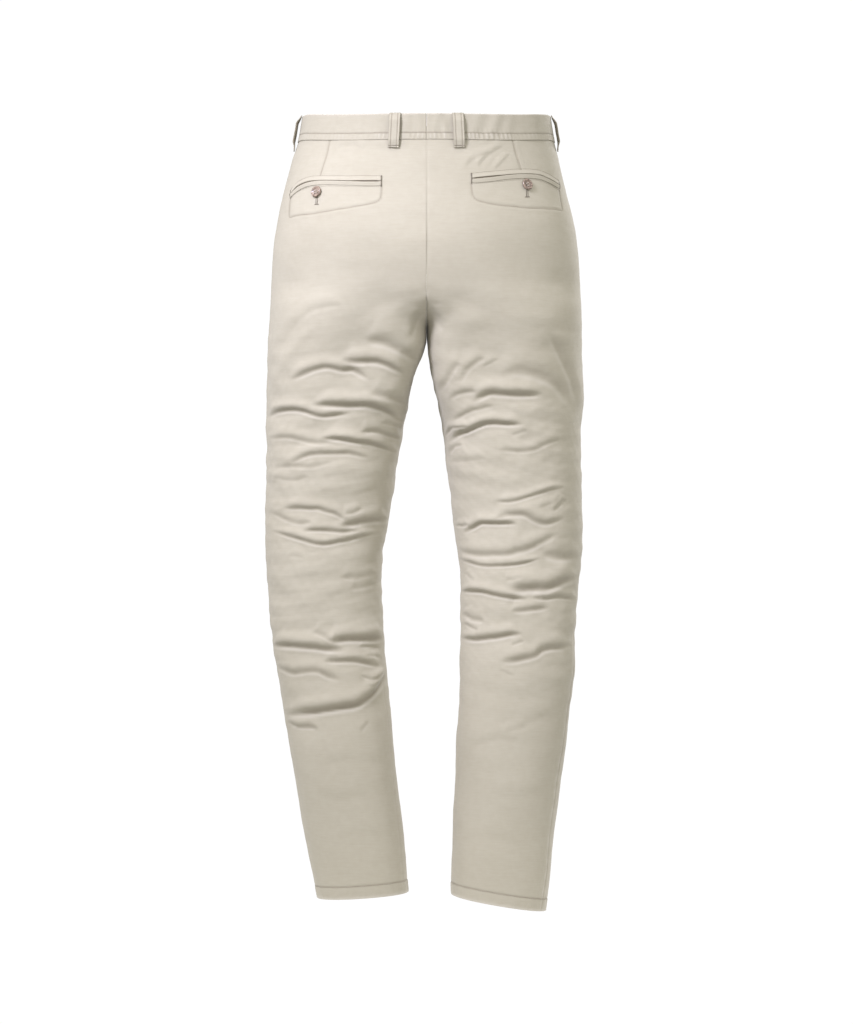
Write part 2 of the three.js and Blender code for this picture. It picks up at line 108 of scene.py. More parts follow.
def softened(z, values):  # eases the turn into the crotch
    step = np.arange(-50, 51) * 0.5
    weights = np.exp(-((step / 11) ** 2))
    smooth = np.convolve(np.pad(values, 50, mode="edge"), weights / weights.sum(), mode="valid")
    near = ease((-232 - z) / 14) * ease((z + 310) / 20)
    return values + near * (smooth - values)


def makeRings(leg):
    z = np.arange(-1090.0, 70.0, 0.5)
    table = outline[leg["name"]]
    lo, hi, square = (along(profile, c, z) for c in (1, 2, 3))
    reach, inner = along(table, 1, z), along(table, 2, z)
    t = np.clip((cut["split"] - z) / (cut["split"] - cut["crotch"]), 0, 1)
    parted = t**2 * (1 + (2 - cut["crotchRound"]) * (1 - t))
    above = z > cut["crotch"]
    width = np.where(above, reach / (1 + parted), (reach - inner) / 2)
    cx = np.where(above, parted * width, (reach + inner) / 2)
    cx, width = softened(z, cx), softened(z, width)
    safe = np.clip(parted, 1e-6, 1)
    start = np.where(above, np.arctan((safe**-square - 1) ** (1 / square)), 0)
    start = np.where(parted <= 0, front, start)
    leg["rings"] = dict(z=z, cx=cx, width=width, cy=(lo + hi) / 2, depth=(hi - lo) / 2, square=square,
                        start=start, turned=np.radians(along(table, 3, z)))
    leg["hem"] = table[-1, 0]


def ringAt(leg, z, key):
    return np.interp(z, leg["rings"]["z"], leg["rings"][key])


for eachLeg in legs.values():
    makeRings(eachLeg)


def skin(leg, angle, z):
    c, s = np.cos(angle), np.sin(angle)
    flatter = 2.4 * ease((cut["pressedFrom"] - z) / 88) * ease((z + 420) / 130) * ease(c / 0.4) * ease(-s / 0.4)
    square = ringAt(leg, z, "square") + flatter
    k = (np.abs(c) ** square + np.abs(s) ** square) ** (-1 / square)
    tilt = leg["hemTilt"] * ease((cut["hemTiltFrom"] - z) / (cut["hemTiltFrom"] - leg["hem"]))
    dip = cut["waistDip"] * ease((-s - 0.25) / 0.7) * ease((z + 62) / 42)  # the waist hangs a little low at the back
    return np.stack([ringAt(leg, z, "cx") - ringAt(leg, z, "width") * c * k,
                     ringAt(leg, z, "cy") - ringAt(leg, z, "depth") * s * k, z - tilt * c * k - dip], axis=-1)


def unit(v):
    return v / np.maximum(np.linalg.norm(v, axis=-1, keepdims=True), 1e-9)


def bell(distance, width):
    return np.exp(-((distance / width) ** 2))


def normalOf(surface, leg, angle, z, stepAngle=0.006, stepZ=0.7):
    around = surface(leg, angle + stepAngle, z) - surface(leg, angle - stepAngle, z)
    down = surface(leg, angle, z - stepZ) - surface(leg, angle, z + stepZ)
    return unit(np.cross(down, around))


# Creases pressed into the cloth by wear: depth, width, and the line as (reach from the middle, height).
# A negative depth is a soft ridge.
creases = {
    ("back", "left"): [
        (1.6, 6, [(6, -244), (14, -258), (20, -276)]), (5, 8, [(105, -309), (89, -311), (66, -311), (51, -315), (36, -322)]),
        (4.2, 7, [(172, -331), (153, -323), (139, -319), (127, -318), (109, -322), (95, -322), (77, -332)]),
        (4.8, 6, [(205, -378), (196, -374), (178, -372), (161, -374), (146, -379), (131, -381), (105, -378)]),
        (6, 8, [(143, -366), (119, -367), (98, -367), (77, -367), (65, -370), (51, -375), (35, -384)]),
        (1.8, 4.5, [(57, -389), (44, -391), (30, -395)]), (3.2, 6, [(83, -401), (66, -400), (51, -404), (35, -408)]),
        (5, 6, [(132, -409), (111, -411), (92, -414), (74, -416), (59, -420), (44, -425)]),
        (2.2, 6, [(201, -408), (183, -407), (164, -411), (146, -415), (126, -415)]),
        (3.2, 6, [(174, -439), (156, -431), (140, -429), (119, -429), (99, -429), (80, -433)]),
        (2.8, 11, [(74, -284), (51, -288), (29, -298), (17, -305)]), (2.6, 9, [(71, -351), (51, -355), (26, -363)]),
        (1.6, 6, [(194, -446), (174, -445), (149, -446), (128, -441)]),
        (-1.4, 8, [(201, -335), (185, -307), (171, -287), (152, -268)]),
        (1.3, 8, [(189, -287), (172, -262), (153, -246), (133, -240), (114, -239)]),
        (1.5, 5.5, [(200, -460), (183, -463), (170, -463), (156, -459)]),
        (3.4, 5.5, [(184, -500), (166, -500), (151, -501), (142, -501), (132, -504), (120, -507), (109, -513)]),
        (1.9, 6, [(201, -507), (184, -515), (170, -519), (152, -519)]), (2.2, 5, [(106, -507), (96, -506), (85, -501)]),
        (5.4, 8, [(109, -522), (97, -521), (85, -518), (67, -516), (54, -515)]),
        (3.6, 5, [(158, -529), (139, -529), (121, -530), (109, -531), (92, -529)]),
        (4.2, 5.5, [(201, -530), (182, -536), (164, -541), (146, -546), (130, -547), (115, -544), (103, -542), (91, -539),
                    (79, -536), (63, -533)]),
        (0.8, 6, [(161, -555), (152, -557), (139, -556)]), (0.8, 6, [(179, -562), (170, -562), (161, -565)]),
        (1.7, 7, [(109, -590), (91, -591), (67, -585)]), (1.7, 7, [(97, -604), (84, -603), (66, -599)]),
        (6.4, 8, [(197, -680), (180, -680), (164, -681), (147, -682), (130, -684), (111, -685)]),
        (2.6, 6, [(147, -661), (135, -666), (124, -673)]),
        (6.8, 8.5, [(123, -673), (111, -672), (99, -671), (80, -671), (57, -671)]),
        (1.8, 3.6, [(85, -680), (74, -680), (61, -682)]),
        (5.2, 6.5, [(130, -699), (111, -699), (95, -699), (83, -701), (67, -705)]), (1.4, 4, [(78, -692), (61, -694)]),
        (3.8, 7.5, [(194, -709), (177, -715), (165, -714), (151, -712), (140, -713), (130, -718), (117, -722)]),
        (2.2, 4, [(84, -718), (74, -723), (65, -722), (54, -714)]), (-1.2, 2.2, [(80, -728), (68, -728), (56, -718)]),
        (8, 9, [(184, -771), (167, -768), (149, -766), (130, -763), (111, -760), (92, -757), (80, -751), (67, -742),
                (57, -730), (51, -716), (49, -704)]),
        (3.8, 5.5, [(181, -780), (170, -785), (157, -785), (143, -787)]), (1.6, 7, [(85, -790), (74, -778)]),
        (1.4, 11, [(182, -781), (169, -788), (148, -781)]), (1.2, 12, [(60, -836), (92, -826), (128, -834)]),
        (1.0, 12, [(140, -872), (112, -880), (80, -876)]), (1.0, 10, [(52, -930), (82, -922), (110, -930)]),
    ],
    ("back", "right"): [
        (1.4, 6, [(6, -240), (13, -254), (20, -270)]),
        (5.2, 8, [(65, -359), (73, -355), (84, -351), (97, -352), (114, -353), (128, -353), (145, -352)]),
        (2.2, 6, [(33, -356), (43, -351), (64, -348)]), (1.9, 7, [(20, -345), (30, -329), (38, -316), (43, -314)]),
        (1.9, 7, [(45, -334), (53, -321), (66, -310), (75, -306)]), (1.3, 4.5, [(75, -316), (87, -310), (92, -307)]),
        (2, 5.5, [(39, -383), (56, -374), (72, -370), (86, -367)]),
        (6, 6.5, [(35, -409), (43, -403), (53, -400), (64, -395), (75, -391), (87, -390), (102, -391), (120, -391)]),
        (2.6, 4, [(24, -403), (30, -398), (36, -394), (53, -392)]),
        (2.8, 14, [(103, -326), (121, -322), (149, -329), (169, -340), (190, -364)]),
        (3, 11, [(162, -275), (178, -308), (190, -334), (197, -359)]), (1.3, 5, [(112, -405), (130, -399)]),
        (1.9, 5.5, [(97, -424), (122, -426), (142, -423), (156, -416), (172, -410)]),
        (2, 4.5, [(31, -426), (37, -419), (46, -417)]), (1.2, 6, [(32, -439), (53, -438), (75, -435)]),
        (3, 4.5, [(94, -491), (111, -491), (130, -486), (149, -480), (161, -476), (175, -473)]),
        (3.8, 7, [(93, -512), (103, -509), (115, -508), (128, -509), (143, -517), (155, -520), (165, -518), (175, -514)]),
        (5.4, 5.5, [(54, -529), (63, -524), (71, -520), (84, -520), (98, -520), (113, -520)]),
        (2.2, 8, [(39, -522), (46, -523), (55, -521)]), (2.2, 5.5, [(168, -502), (176, -494), (183, -488)]),
        (1.1, 5, [(148, -499), (168, -492), (174, -483)]),
        (3.2, 8, [(41, -553), (55, -559), (70, -561), (88, -560), (105, -560), (118, -557), (136, -552), (155, -542),
                  (171, -534)]),
        (3.8, 4.5, [(44, -567), (59, -572), (74, -575), (93, -575), (111, -574), (130, -571), (143, -567)]),
        (3, 12, [(154, -560), (168, -564), (180, -565), (197, -563)]),
        (6.2, 11, [(110, -605), (124, -606), (136, -605), (155, -605), (168, -601), (180, -596), (195, -592)]),
        (5.4, 5.5, [(48, -609), (68, -609), (83, -612), (98, -615), (111, -617), (125, -618)]),
        (3.6, 5.5, [(141, -617), (158, -618), (174, -616), (195, -619)]), (3.6, 6.5, [(113, -634), (130, -633), (158, -630)]),
        (1.4, 6, [(105, -594), (124, -590)]), (1.3, 6, [(49, -585), (61, -594)]),
        (3.2, 8, [(47, -638), (58, -645), (73, -647)]), (2, 4, [(48, -651), (58, -656), (67, -659)]),
        (6, 6.5, [(48, -671), (62, -672), (77, -670), (93, -668), (108, -665), (119, -664)]),
        (4.4, 8, [(101, -699), (112, -699), (128, -696), (143, -692), (151, -686), (162, -683), (174, -682), (187, -680)]),
        (1.9, 5, [(111, -678), (126, -673)]), (1.2, 6, [(97, -711), (112, -718)]), (1.3, 7, [(105, -790), (130, -785)]),
        (1.4, 9, [(64, -809), (94, -801), (124, -806)]), (1.2, 12, [(160, -770), (128, -782), (92, -778)]),
        (1.0, 12, [(150, -868), (118, -878), (84, -872)]), (1.0, 10, [(48, -934), (80, -926), (112, -936)]),
    ],
    ("front", "left"): [
        (3.2, 11, [(16, -214), (60, -206), (110, -192), (150, -172)]), (3.4, 9, [(14, -246), (50, -240), (96, -226)]),
        (3.2, 10, [(20, -290), (70, -283), (120, -268), (160, -250)]), (2.2, 9, [(28, -330), (70, -322), (110, -312)]),
        (1.6, 12, [(44, -402), (100, -392), (150, -396)]), (2.4, 11, [(66, -590), (110, -600), (160, -596)]),
        (2.6, 10, [(200, -640), (160, -650), (120, -648)]), (3.4, 10, [(64, -676), (100, -690), (150, -688), (190, -672)]),
        (3.2, 9, [(62, -732), (104, -748), (150, -750)]), (2.6, 9, [(180, -768), (150, -780), (110, -778)]),
        (1.8, 10, [(56, -826), (96, -836), (140, -832)]), (1.4, 12, [(42, -930), (84, -938), (124, -934)]),
    ],
    ("front", "right"): [
        (3.0, 11, [(16, -208), (58, -200), (104, -188), (146, -166)]), (3.2, 9, [(14, -250), (48, -242), (92, -232)]),
        (3.2, 10, [(18, -298), (64, -288), (112, -276), (152, -256)]), (1.5, 8, [(70, -338), (112, -324), (146, -319)]),
        (1.2, 10, [(108, -396), (150, -388), (186, -394)]), (1.8, 9, [(108, -572), (146, -583), (184, -577)]),
        (2.8, 9, [(58, -627), (90, -638), (122, -637)]), (3.2, 10, [(52, -672), (94, -684), (146, -680), (184, -668)]),
        (3.0, 9, [(180, -736), (140, -750), (98, -746)]), (1.8, 8, [(92, -786), (126, -795), (162, -788)]),
        (1.8, 10, [(170, -838), (140, -848), (100, -844)]), (1.2, 12, [(60, -930), (96, -935), (140, -928)]),
    ],
}

# Lines sewn on the back panels, as (reach from the middle, height)
darts = {"left": [(125.7, -18), (130, -40), (137.9, -67)], "right": [(111.7, -18), (116, -38), (122.9, -62)]}
mouths = {  # back pocket mouths: (distance from the inner end, height)
    "left": np.array([(142, -89), (124, -80), (98, -75), (40, -77), (0, -78)], float),
    "right": np.array([(142, -77), (116, -70.5), (96, -66.5), (65, -67), (37, -70), (0, -74.5)], float),
}
pocket = dict(length=142, fromCentre=58, welt=5.4, rowAbove=-7.0, rowBelow=7.4)


def smoothPath(points, count=28):
    p = np.array(points, float)
    if len(p) == 2:
        return p[0] + (p[1] - p[0]) * np.linspace(0, 1, count)[:, None]
    ends = np.vstack([2 * p[0] - p[1], p, 2 * p[-1] - p[-2]])
    out = []
    for i in range(1, len(ends) - 2):
        a, b, c, d = ends[i - 1:i + 3]
        t = np.linspace(0, 1, max(3, count // (len(p) - 1)), endpoint=i == len(ends) - 3)[:, None]
        out.append(0.5 * (2 * b + (c - a) * t + (2 * a - 5 * b + 4 * c - d) * t**2 + (3 * b - a - 3 * c + d) * t**3))
    return np.vstack(out)


def nearPath(line, x, z):  # signed distance above a line, and the share of its length
    best = np.full(x.shape, 1e9)
    signed, share = np.zeros(x.shape), np.zeros(x.shape)
    steps = np.linalg.norm(np.diff(line, axis=0), axis=1)
    total, done = steps.sum(), 0.0
    for a, b, length in zip(line[:-1], line[1:], steps):
        ux, uz = (b - a) / max(length, 1e-9)
        px, pz = x - a[0], z - a[1]
        t = np.clip(px * ux + pz * uz, 0, length)
        off = np.hypot(px - t * ux, pz - t * uz)
        hit = off < best
        best = np.where(hit, off, best)
        signed = np.where(hit, off * np.sign(ux * pz - uz * px), signed)
        share = np.where(hit, (done + t) / total, share)
        done += length
    return signed, share


def onLine(points, x, z, reach, shape):  # adds a shape of (distance, share) near one line
    line = smoothPath(points)
    if line[0, 0] > line[-1, 0]:
        line = line[::-1]
    lo, hi = line.min(axis=0) - reach, line.max(axis=0) + reach
    near = (x > lo[0]) & (x < hi[0]) & (z > lo[1]) & (z < hi[1])
    lift = np.zeros(x.shape)
    if near.any():
        lift[near] = shape(*nearPath(line, x[near], z[near]))
    return lift


def drawnOut(path):  # a crease runs out a little past the ends that were marked
    p = np.array(path, float)
    length = float(np.linalg.norm(np.diff(p, axis=0), axis=1).sum())
    past = min(9.0, 0.12 * length)
    return np.vstack([p[0] + unit(p[0] - p[1]) * past, p, p[-1] + unit(p[-1] - p[-2]) * past]), length + 2 * past


# the cloth bulges over a sharp line, tucks in at it, and comes back slowly below
def creaseShape(depth, width, length):
    def shape(d, t):
        fade = ease(np.minimum(t, 1 - t) / 0.22)
        if depth < 0:
            return -fade * depth * bell(d, width)
        w = min(width, 0.2 * length) * (0.5 + 0.5 * fade)
        tail = min(2.0, 0.2 * length / width) * w
        bulge, rim = 0.55 * bell(d - 1.35 * w, 1.05 * w), 0.13 * bell(d + 0.6 * w, 0.4 * w)
        above = bell(np.clip(d, 0, None), 0.6 * w)
        below = np.exp(-((np.clip(-d, 0, None) / tail) ** 1.3))
        return fade * depth * (bulge + rim - 0.64 * np.where(d > 0, above, below))
    return shape


def shadowShape(depth, width, length):  # painted shade lying in a crease, sharp along its lower edge
    def shape(d, t):
        fade = ease(np.minimum(t, 1 - t) / 0.26)
        w = min(width, 0.2 * length) * (0.4 + 0.6 * fade)
        strength = 0.06 * depth * fade * (0.4 + 0.6 * ease((length - 20) / 45))
        return strength * np.where(d > 0, bell(d, 0.75 * w), bell(d, 0.16 * w))
    return shape


def highlightRimShape(depth, width, length):  # a painted highlight, paler along the lower edge of a crease
    def shape(d, t):
        w = min(width, 0.2 * length)
        return 0.07 * depth * ease(np.minimum(t, 1 - t) / 0.26) * bell(d + 0.42 * w, 0.22 * w)
    return shape


def ripple(x, y, z, size, seed):  # soft uneven swell, about 1 high
    rng = np.random.default_rng(seed)
    out = np.zeros(x.shape)
    for _ in range(7):
        a, b, c = rng.normal(0, 1, 3)
        n = 2 * math.pi / (size * rng.uniform(0.7, 1.6) * math.sqrt(a * a + b * b + c * c))
        out += np.sin(n * (a * x + b * y + c * z) + rng.uniform(0, 2 * math.pi))
    return out / 2.65


def seamLine(depth, width, fold=0.0, foldWidth=8):
    def shape(d, t):
        pressed = fold * ease(d / 0.8) * ease((foldWidth - d) / 2.5)
        return pressed - depth * bell(d, width)
    return shape


bagOutline = {  # stitched outline of a back pocket's bag: (distance from the inner end, drop below the mouth)
    "left": [(0, 7), (1, 20), (6, 27), (20, 31), (38, 34), (60, 38), (84, 42), (104, 43), (124, 39), (137, 34),
             (141.5, 30), (142.5, 20), (142, 8)],
    "right": [(0, 7), (1, 18), (5, 27), (14, 32), (34, 38), (62, 43), (82, 45), (104, 43), (124, 38), (138, 35),
              (142, 33), (143, 26), (142, 8)],
}


def reachOut(leg, x, z, sign):  # how far the back (+1) or the front (-1) stands out at this reach and height
    c = np.clip(np.abs(x - ringAt(leg, z, "cx")) / ringAt(leg, z, "width"), 0, 0.97)
    square = ringAt(leg, z, "square")
    return sign * ringAt(leg, z, "cy") + ringAt(leg, z, "depth") * (1 - c**square) ** (1 / square)


def evened(leg, x, z, sign):  # the cloth spans smoothly from the seat to the thigh
    near = ease((-120 - z) / 50) * ease((z + 390) / 70) * ease((x - 20) / 50)
    near = near * ease((0.93 - np.abs(x - ringAt(leg, z, "cx")) / ringAt(leg, z, "width")) / 0.25)
    offsets = np.linspace(-56, 56, 9)
    weights = np.exp(-((offsets / 30) ** 2))
    mean = sum(w * reachOut(leg, x, z + d, sign) for w, d in zip(weights / weights.sum(), offsets))
    return near * (mean - reachOut(leg, x, z, sign))


def faceMasks(normal):  # how far the cloth belongs to the back and to the front
    return (("back", ease((normal[..., 1] + 0.15) / 0.7)), ("front", ease((0.15 - normal[..., 1]) / 0.7)))


def relief(leg, point, normal):
    x, y, z = point[..., 0], point[..., 1], point[..., 2]
    name = leg["name"]
    lift = np.zeros(x.shape)
    for face, mask in faceMasks(normal):
        for depth, width, path in creases[face, name]:
            line, length = drawnOut(path)
            lift += mask * onLine(line, x, z, 6 * width, creaseShape(depth, width, length))
    facing = np.abs(normal[..., 1])
    spanned = np.where(normal[..., 1] > 0, evened(leg, x, z, 1), evened(leg, x, z, -1))
    lift += facing * ease((facing - 0.3) / 0.3) * spanned
    seed = 11 if name == "left" else 29
    lowerPart = ease((-190 - z) / 120)
    worn = np.clip(bell(z + 420, 110) + bell(z + 640, 110), 0, 1)  # behind the thighs and the knees
    lift += (0.3 + 0.95 * lowerPart) * ripple(x, y, z, 120, seed) * ease((bandSeam - z) / 60)
    swell = (0.12 + 0.45 * worn) * ripple(x * 0.6, y * 0.6, z * 1.5, 34, seed + 1)
    lift += swell * ease((bandSeam - z) / 30)
    lift += (0.05 + 0.12 * worn) * ripple(x * 0.8, y * 0.8, z * 1.3, 13, seed + 2)
    return lift


def creaseMask(leg, point, normal, shape, most):
    x, z = point[..., 0], point[..., 2]
    shade = np.zeros(x.shape)
    for face, mask in faceMasks(normal):
        for depth, width, path in creases[face, leg["name"]]:
            if depth > 1.5:
                line, length = drawnOut(path)
                shade += mask * onLine(line, x, z, 3 * width, shape(depth, width, length))
    return np.clip(shade, 0, most)


def folded(leg, angle, z):
    point = skin(leg, angle, z)
    normal = normalOf(skin, leg, angle, z)
    return point + normal * relief(leg, point, normal)[..., None]


def cloth(leg, angle, z, out=0.0, pastMiddle=False):
    angle, z = np.broadcast_arrays(np.asarray(angle, float), np.asarray(z, float))
    point = folded(leg, angle, z)
    point = point + normalOf(folded, leg, angle, z) * np.asarray(out, float)[..., None]
    if not pastMiddle:
        point[..., 0] = np.maximum(point[..., 0], cut["gap"] / 2)
    return point


def toWorld(leg, point):  # millimetres in the leg's own half to metres
    return point * np.array([leg["sign"], 1, 1]) / 1000


def lengthAlong(points):  # running length along the last row of points
    steps = np.linalg.norm(np.diff(points, axis=-2), axis=-1)
    return np.concatenate([np.zeros((*steps.shape[:-1], 1)), np.cumsum(steps, axis=-1)], axis=-1)


def arcTable(leg, z, start, end, count=400):  # distances round the skin at one height
    angle = np.linspace(start, end, count)
    return angle, lengthAlong(skin(leg, angle, np.full(count, float(z))))


def angleAfter(leg, start, z, distance):  # a negative distance runs back
    end = start + np.sign(distance) * 3.2
    angle, length = arcTable(leg, z, start, end)
    return float(np.interp(abs(distance), length, angle))


def addObject(name, data):
    obj = bpy.data.objects.new(name, data)
    bpy.context.scene.collection.objects.link(obj)
    return obj


def makeMesh(name, grid, material, uv=None, flip=False, closed=False):
    rows, columns = grid.shape[:2]
    mesh = bpy.data.meshes.new(name)
    index = np.arange(rows * columns).reshape(rows, columns)
    if closed:
        index = np.concatenate([index, index[:, :1]], axis=1)
    a, b, c, d = index[:-1, :-1], index[1:, :-1], index[1:, 1:], index[:-1, 1:]
    quads = np.stack([a, d, c, b] if flip else [a, b, c, d], axis=-1).reshape(-1, 4)
    mesh.from_pydata(grid.reshape(-1, 3).tolist(), [], quads.tolist())
    mesh.polygons.foreach_set("use_smooth", [True] * len(mesh.polygons))
    if uv is not None:
        layer = mesh.uv_layers.new(name="cloth")
        layer.data.foreach_set("uv", uv.reshape(-1, 2)[quads.reshape(-1)].reshape(-1).astype(np.float32))
    mesh.materials.append(material)
    return addObject(name, mesh)


def thicken(obj, thickness):
    solid = obj.modifiers.new("wall", "SOLIDIFY")
    solid.thickness = thickness / 1000
    solid.offset = -1
    solid.use_rim = True
    return obj


def bakeModifiers(obj):  # the modifiers' result becomes the object's plain mesh
    bpy.context.view_layer.update()
    made = bpy.data.meshes.new_from_object(obj.evaluated_get(bpy.context.evaluated_depsgraph_get()))
    made.name = obj.name
    obj.modifiers.clear()
    obj.data = made
    return obj


def flatUv(grid):  # lengths round and down the cloth, in units of 100 mm
    around = lengthAlong(grid)
    middle = around[:, around.shape[1] // 2][:, None]
    down = lengthAlong(grid.mean(axis=1))[:, None] * np.ones(grid.shape[:2])
    return np.stack([(around - middle) * 10, -down * 10], axis=-1)


def addMask(obj, name, values):
    layer = obj.data.attributes.new(name, "FLOAT", "POINT")
    layer.data.foreach_set("value", np.asarray(values, np.float32).reshape(-1))


# Materials
fabric = dict(
    tone=(0.410, 0.377, 0.300), shade=(0.376, 0.343, 0.267),  # linear colour of the stone cotton and its darker yarns
    paleWearAndHighlight=(0.56, 0.52, 0.45), paintedShadeTone=(0.17, 0.142, 0.10),      # worn pale on edges plus painted highlight on crease rims; painted shade in seams, creases and hollows
    twillPitch=0.62,                                          # millimetres between the twill's diagonal lines
    roughness=0.86, sheen=0.12, weaveDepth=0.00006,
)


def feed(tree, node, inputs):  # each input gets a value, or the socket that drives it
    for key, value in inputs.items():
        if isinstance(value, bpy.types.NodeSocket):
            tree.links.new(value, node.inputs[key])
        else:
            node.inputs[key].default_value = value
    return node


def addNode(tree, kind, inputs=None, **settings):
    node = tree.nodes.new(kind)
    for key, value in settings.items():
        setattr(node, key, value)
    return feed(tree, node, inputs or {})


def calc(tree, kind, *values):
    return addNode(tree, "ShaderNodeMath", dict(enumerate(values)), operation=kind).outputs[0]


def blend(tree, share, a, b):
    return addNode(tree, "ShaderNodeMix", {"Factor": share, "A": a, "B": b}, data_type="RGBA").outputs["Result"]


def objectPlace(tree):
    return addNode(tree, "ShaderNodeTexCoord").outputs["Object"]


def bumped(tree, height, strength, distance):
    bump = addNode(tree, "ShaderNodeBump", {"Strength": strength, "Distance": distance, "Height": height})
    return bump.outputs["Normal"]


def newMaterial(name):
    material = bpy.data.materials.new(name)
    material.use_nodes = True
    return material, material.node_tree, material.node_tree.nodes["Principled BSDF"]


def makeTwillGroup():
    group = bpy.data.node_groups.new("cottonTwill", "ShaderNodeTree")
    for name, value in (("Pitch", 0.62), ("Unevenness", 1.0)):
        group.interface.new_socket(name, in_out="INPUT", socket_type="NodeSocketFloat").default_value = value
    for name in ("Height", "Mottle", "Yarn"):
        group.interface.new_socket(name, in_out="OUTPUT", socket_type="NodeSocketFloat")

    def add(a, b):
        return calc(group, "ADD", a, b)

    def times(a, b):
        return calc(group, "MULTIPLY", a, b)

    def wave(length, turns):
        return calc(group, "SINE", times(calc(group, "DIVIDE", length, given["Pitch"]), turns * math.pi))

    def noise(scale, detail, where):
        node = addNode(group, "ShaderNodeTexNoise", {"Scale": scale, "Detail": detail, "Vector": where})
        return calc(group, "SUBTRACT", node.outputs["Fac"], 0.5)

    given = addNode(group, "NodeGroupInput").outputs
    uv = addNode(group, "ShaderNodeUVMap", uv_map="cloth").outputs["UV"]
    parts = addNode(group, "ShaderNodeSeparateXYZ", {0: uv}).outputs
    u, v = times(parts[0], 100), times(parts[1], 100)  # millimetres across and down the cloth
    weave = add(wave(add(times(u, 0.89), times(v, -0.45)), 2), times(wave(v, 4), 0.35))
    place = objectPlace(group)
    broad, fine, grain = (noise(scale, detail, place) for scale, detail in ((14, 3), (120, 4), (700, 2)))
    stretched = addNode(group, "ShaderNodeVectorMath", {0: place, 1: (55, 55, 760)}, operation="MULTIPLY")
    slubs = noise(1.0, 2, stretched.outputs["Vector"])  # thicker places along the weft yarns
    mottle = add(add(broad, times(fine, 0.8)), times(slubs, 0.9))
    addNode(group, "NodeGroupOutput", {
        "Mottle": times(mottle, given["Unevenness"]), "Yarn": times(weave, 0.5),
        "Height": add(times(weave, 0.5), add(times(grain, 1.2), times(slubs, 1.6))),
    })
    return group


twillGroup = makeTwillGroup()


def makeCloth(name, tone=fabric["tone"], shade=fabric["shade"], masks=True):
    material, tree, shader = newMaterial(name)
    twill = addNode(tree, "ShaderNodeGroup", {"Pitch": fabric["twillPitch"]}, node_tree=twillGroup).outputs
    share = calc(tree, "ADD", 0.5, calc(tree, "MULTIPLY", twill["Mottle"], 1.1))
    share = calc(tree, "ADD", share, calc(tree, "MULTIPLY", twill["Yarn"], -0.35))
    colour = blend(tree, share, (*tone, 1), (*shade, 1))
    if masks:
        # the paler mask is edge wear together with painted highlight; the darker mask is painted shade
        for mask, value in (("wearAndHighlight", fabric["paleWearAndHighlight"]), ("paintedShade", fabric["paintedShadeTone"])):
            amount = addNode(tree, "ShaderNodeAttribute", attribute_name=mask).outputs["Fac"]
            colour = blend(tree, amount, colour, (*value, 1))
    rough = calc(tree, "ADD", fabric["roughness"], calc(tree, "MULTIPLY", twill["Mottle"], 0.12))
    feed(tree, shader, {
        "Base Color": colour, "Roughness": rough, "Normal": bumped(tree, twill["Height"], 0.6, fabric["weaveDepth"]),
        "Specular IOR Level": 0.18, "Sheen Weight": fabric["sheen"], "Sheen Roughness": 0.45,
    })
    return material


def makeThread(name, colour):
    material, tree, shader = newMaterial(name)
    noise = addNode(tree, "ShaderNodeTexNoise", {"Scale": 900, "Vector": objectPlace(tree)}).outputs["Fac"]
    dark, pale = ((*[min(1, c * k) for c in colour], 1) for k in (0.86, 1.1))
    feed(tree, shader, {"Base Color": blend(tree, noise, dark, pale), "Normal": bumped(tree, noise, 0.5, 0.0001),
                        "Roughness": 0.7, "Sheen Weight": 0.2})
    return material


def setRamp(ramp, first, second):
    for element, (position, colour) in zip(ramp.elements, (first, second)):
        element.position, element.color = position, (*colour, 1)


def makeHorn():
    material, tree, shader = newMaterial("buttonHorn")
    noise = {"Scale": 260, "Detail": 5, "Distortion": 1.6, "Vector": objectPlace(tree)}
    streaks = addNode(tree, "ShaderNodeTexNoise", noise).outputs["Fac"]
    ramp = addNode(tree, "ShaderNodeValToRGB", {"Fac": streaks})
    setRamp(ramp.color_ramp, (0.36, (0.085, 0.055, 0.038)), (0.68, (0.36, 0.265, 0.20)))
    rough = calc(tree, "ADD", 0.24, calc(tree, "MULTIPLY", streaks, 0.2))
    feed(tree, shader, {"Base Color": ramp.outputs["Color"], "Roughness": rough, "Coat Weight": 0.3,
                        "Normal": bumped(tree, streaks, 0.15, 0.0002)})
    return material


cotton = makeCloth("stoneCotton")
cottonPlain = makeCloth("stoneCottonTrim", masks=False)
# a dark cloth put in the pocket mouths: painted shadow of the pocket's inside
mouthShadowCloth = makeCloth("pocketShadow", tone=(0.16, 0.135, 0.10), shade=(0.12, 0.10, 0.07), masks=False)
# the seam thread is darker than its own tan, as painted shade along the stitch lines; the buttonhole thread is darker
# still, painted shade standing in for the slits
thread = makeThread("seamThread", (0.27, 0.235, 0.18))
threadDark = makeThread("buttonholeThread", (0.15, 0.125, 0.09))
threadPale = makeThread("buttonThread", (0.62, 0.55, 0.46))
horn = makeHorn()
print("materials made")


# Panels
panel = dict(backColumns=144, frontColumns=92, seam=0.03, hemFold=15.5, hemReturn=15,
             slantTop=42, slantDepth=168, facingUnder=22, facingDepth=2.4)


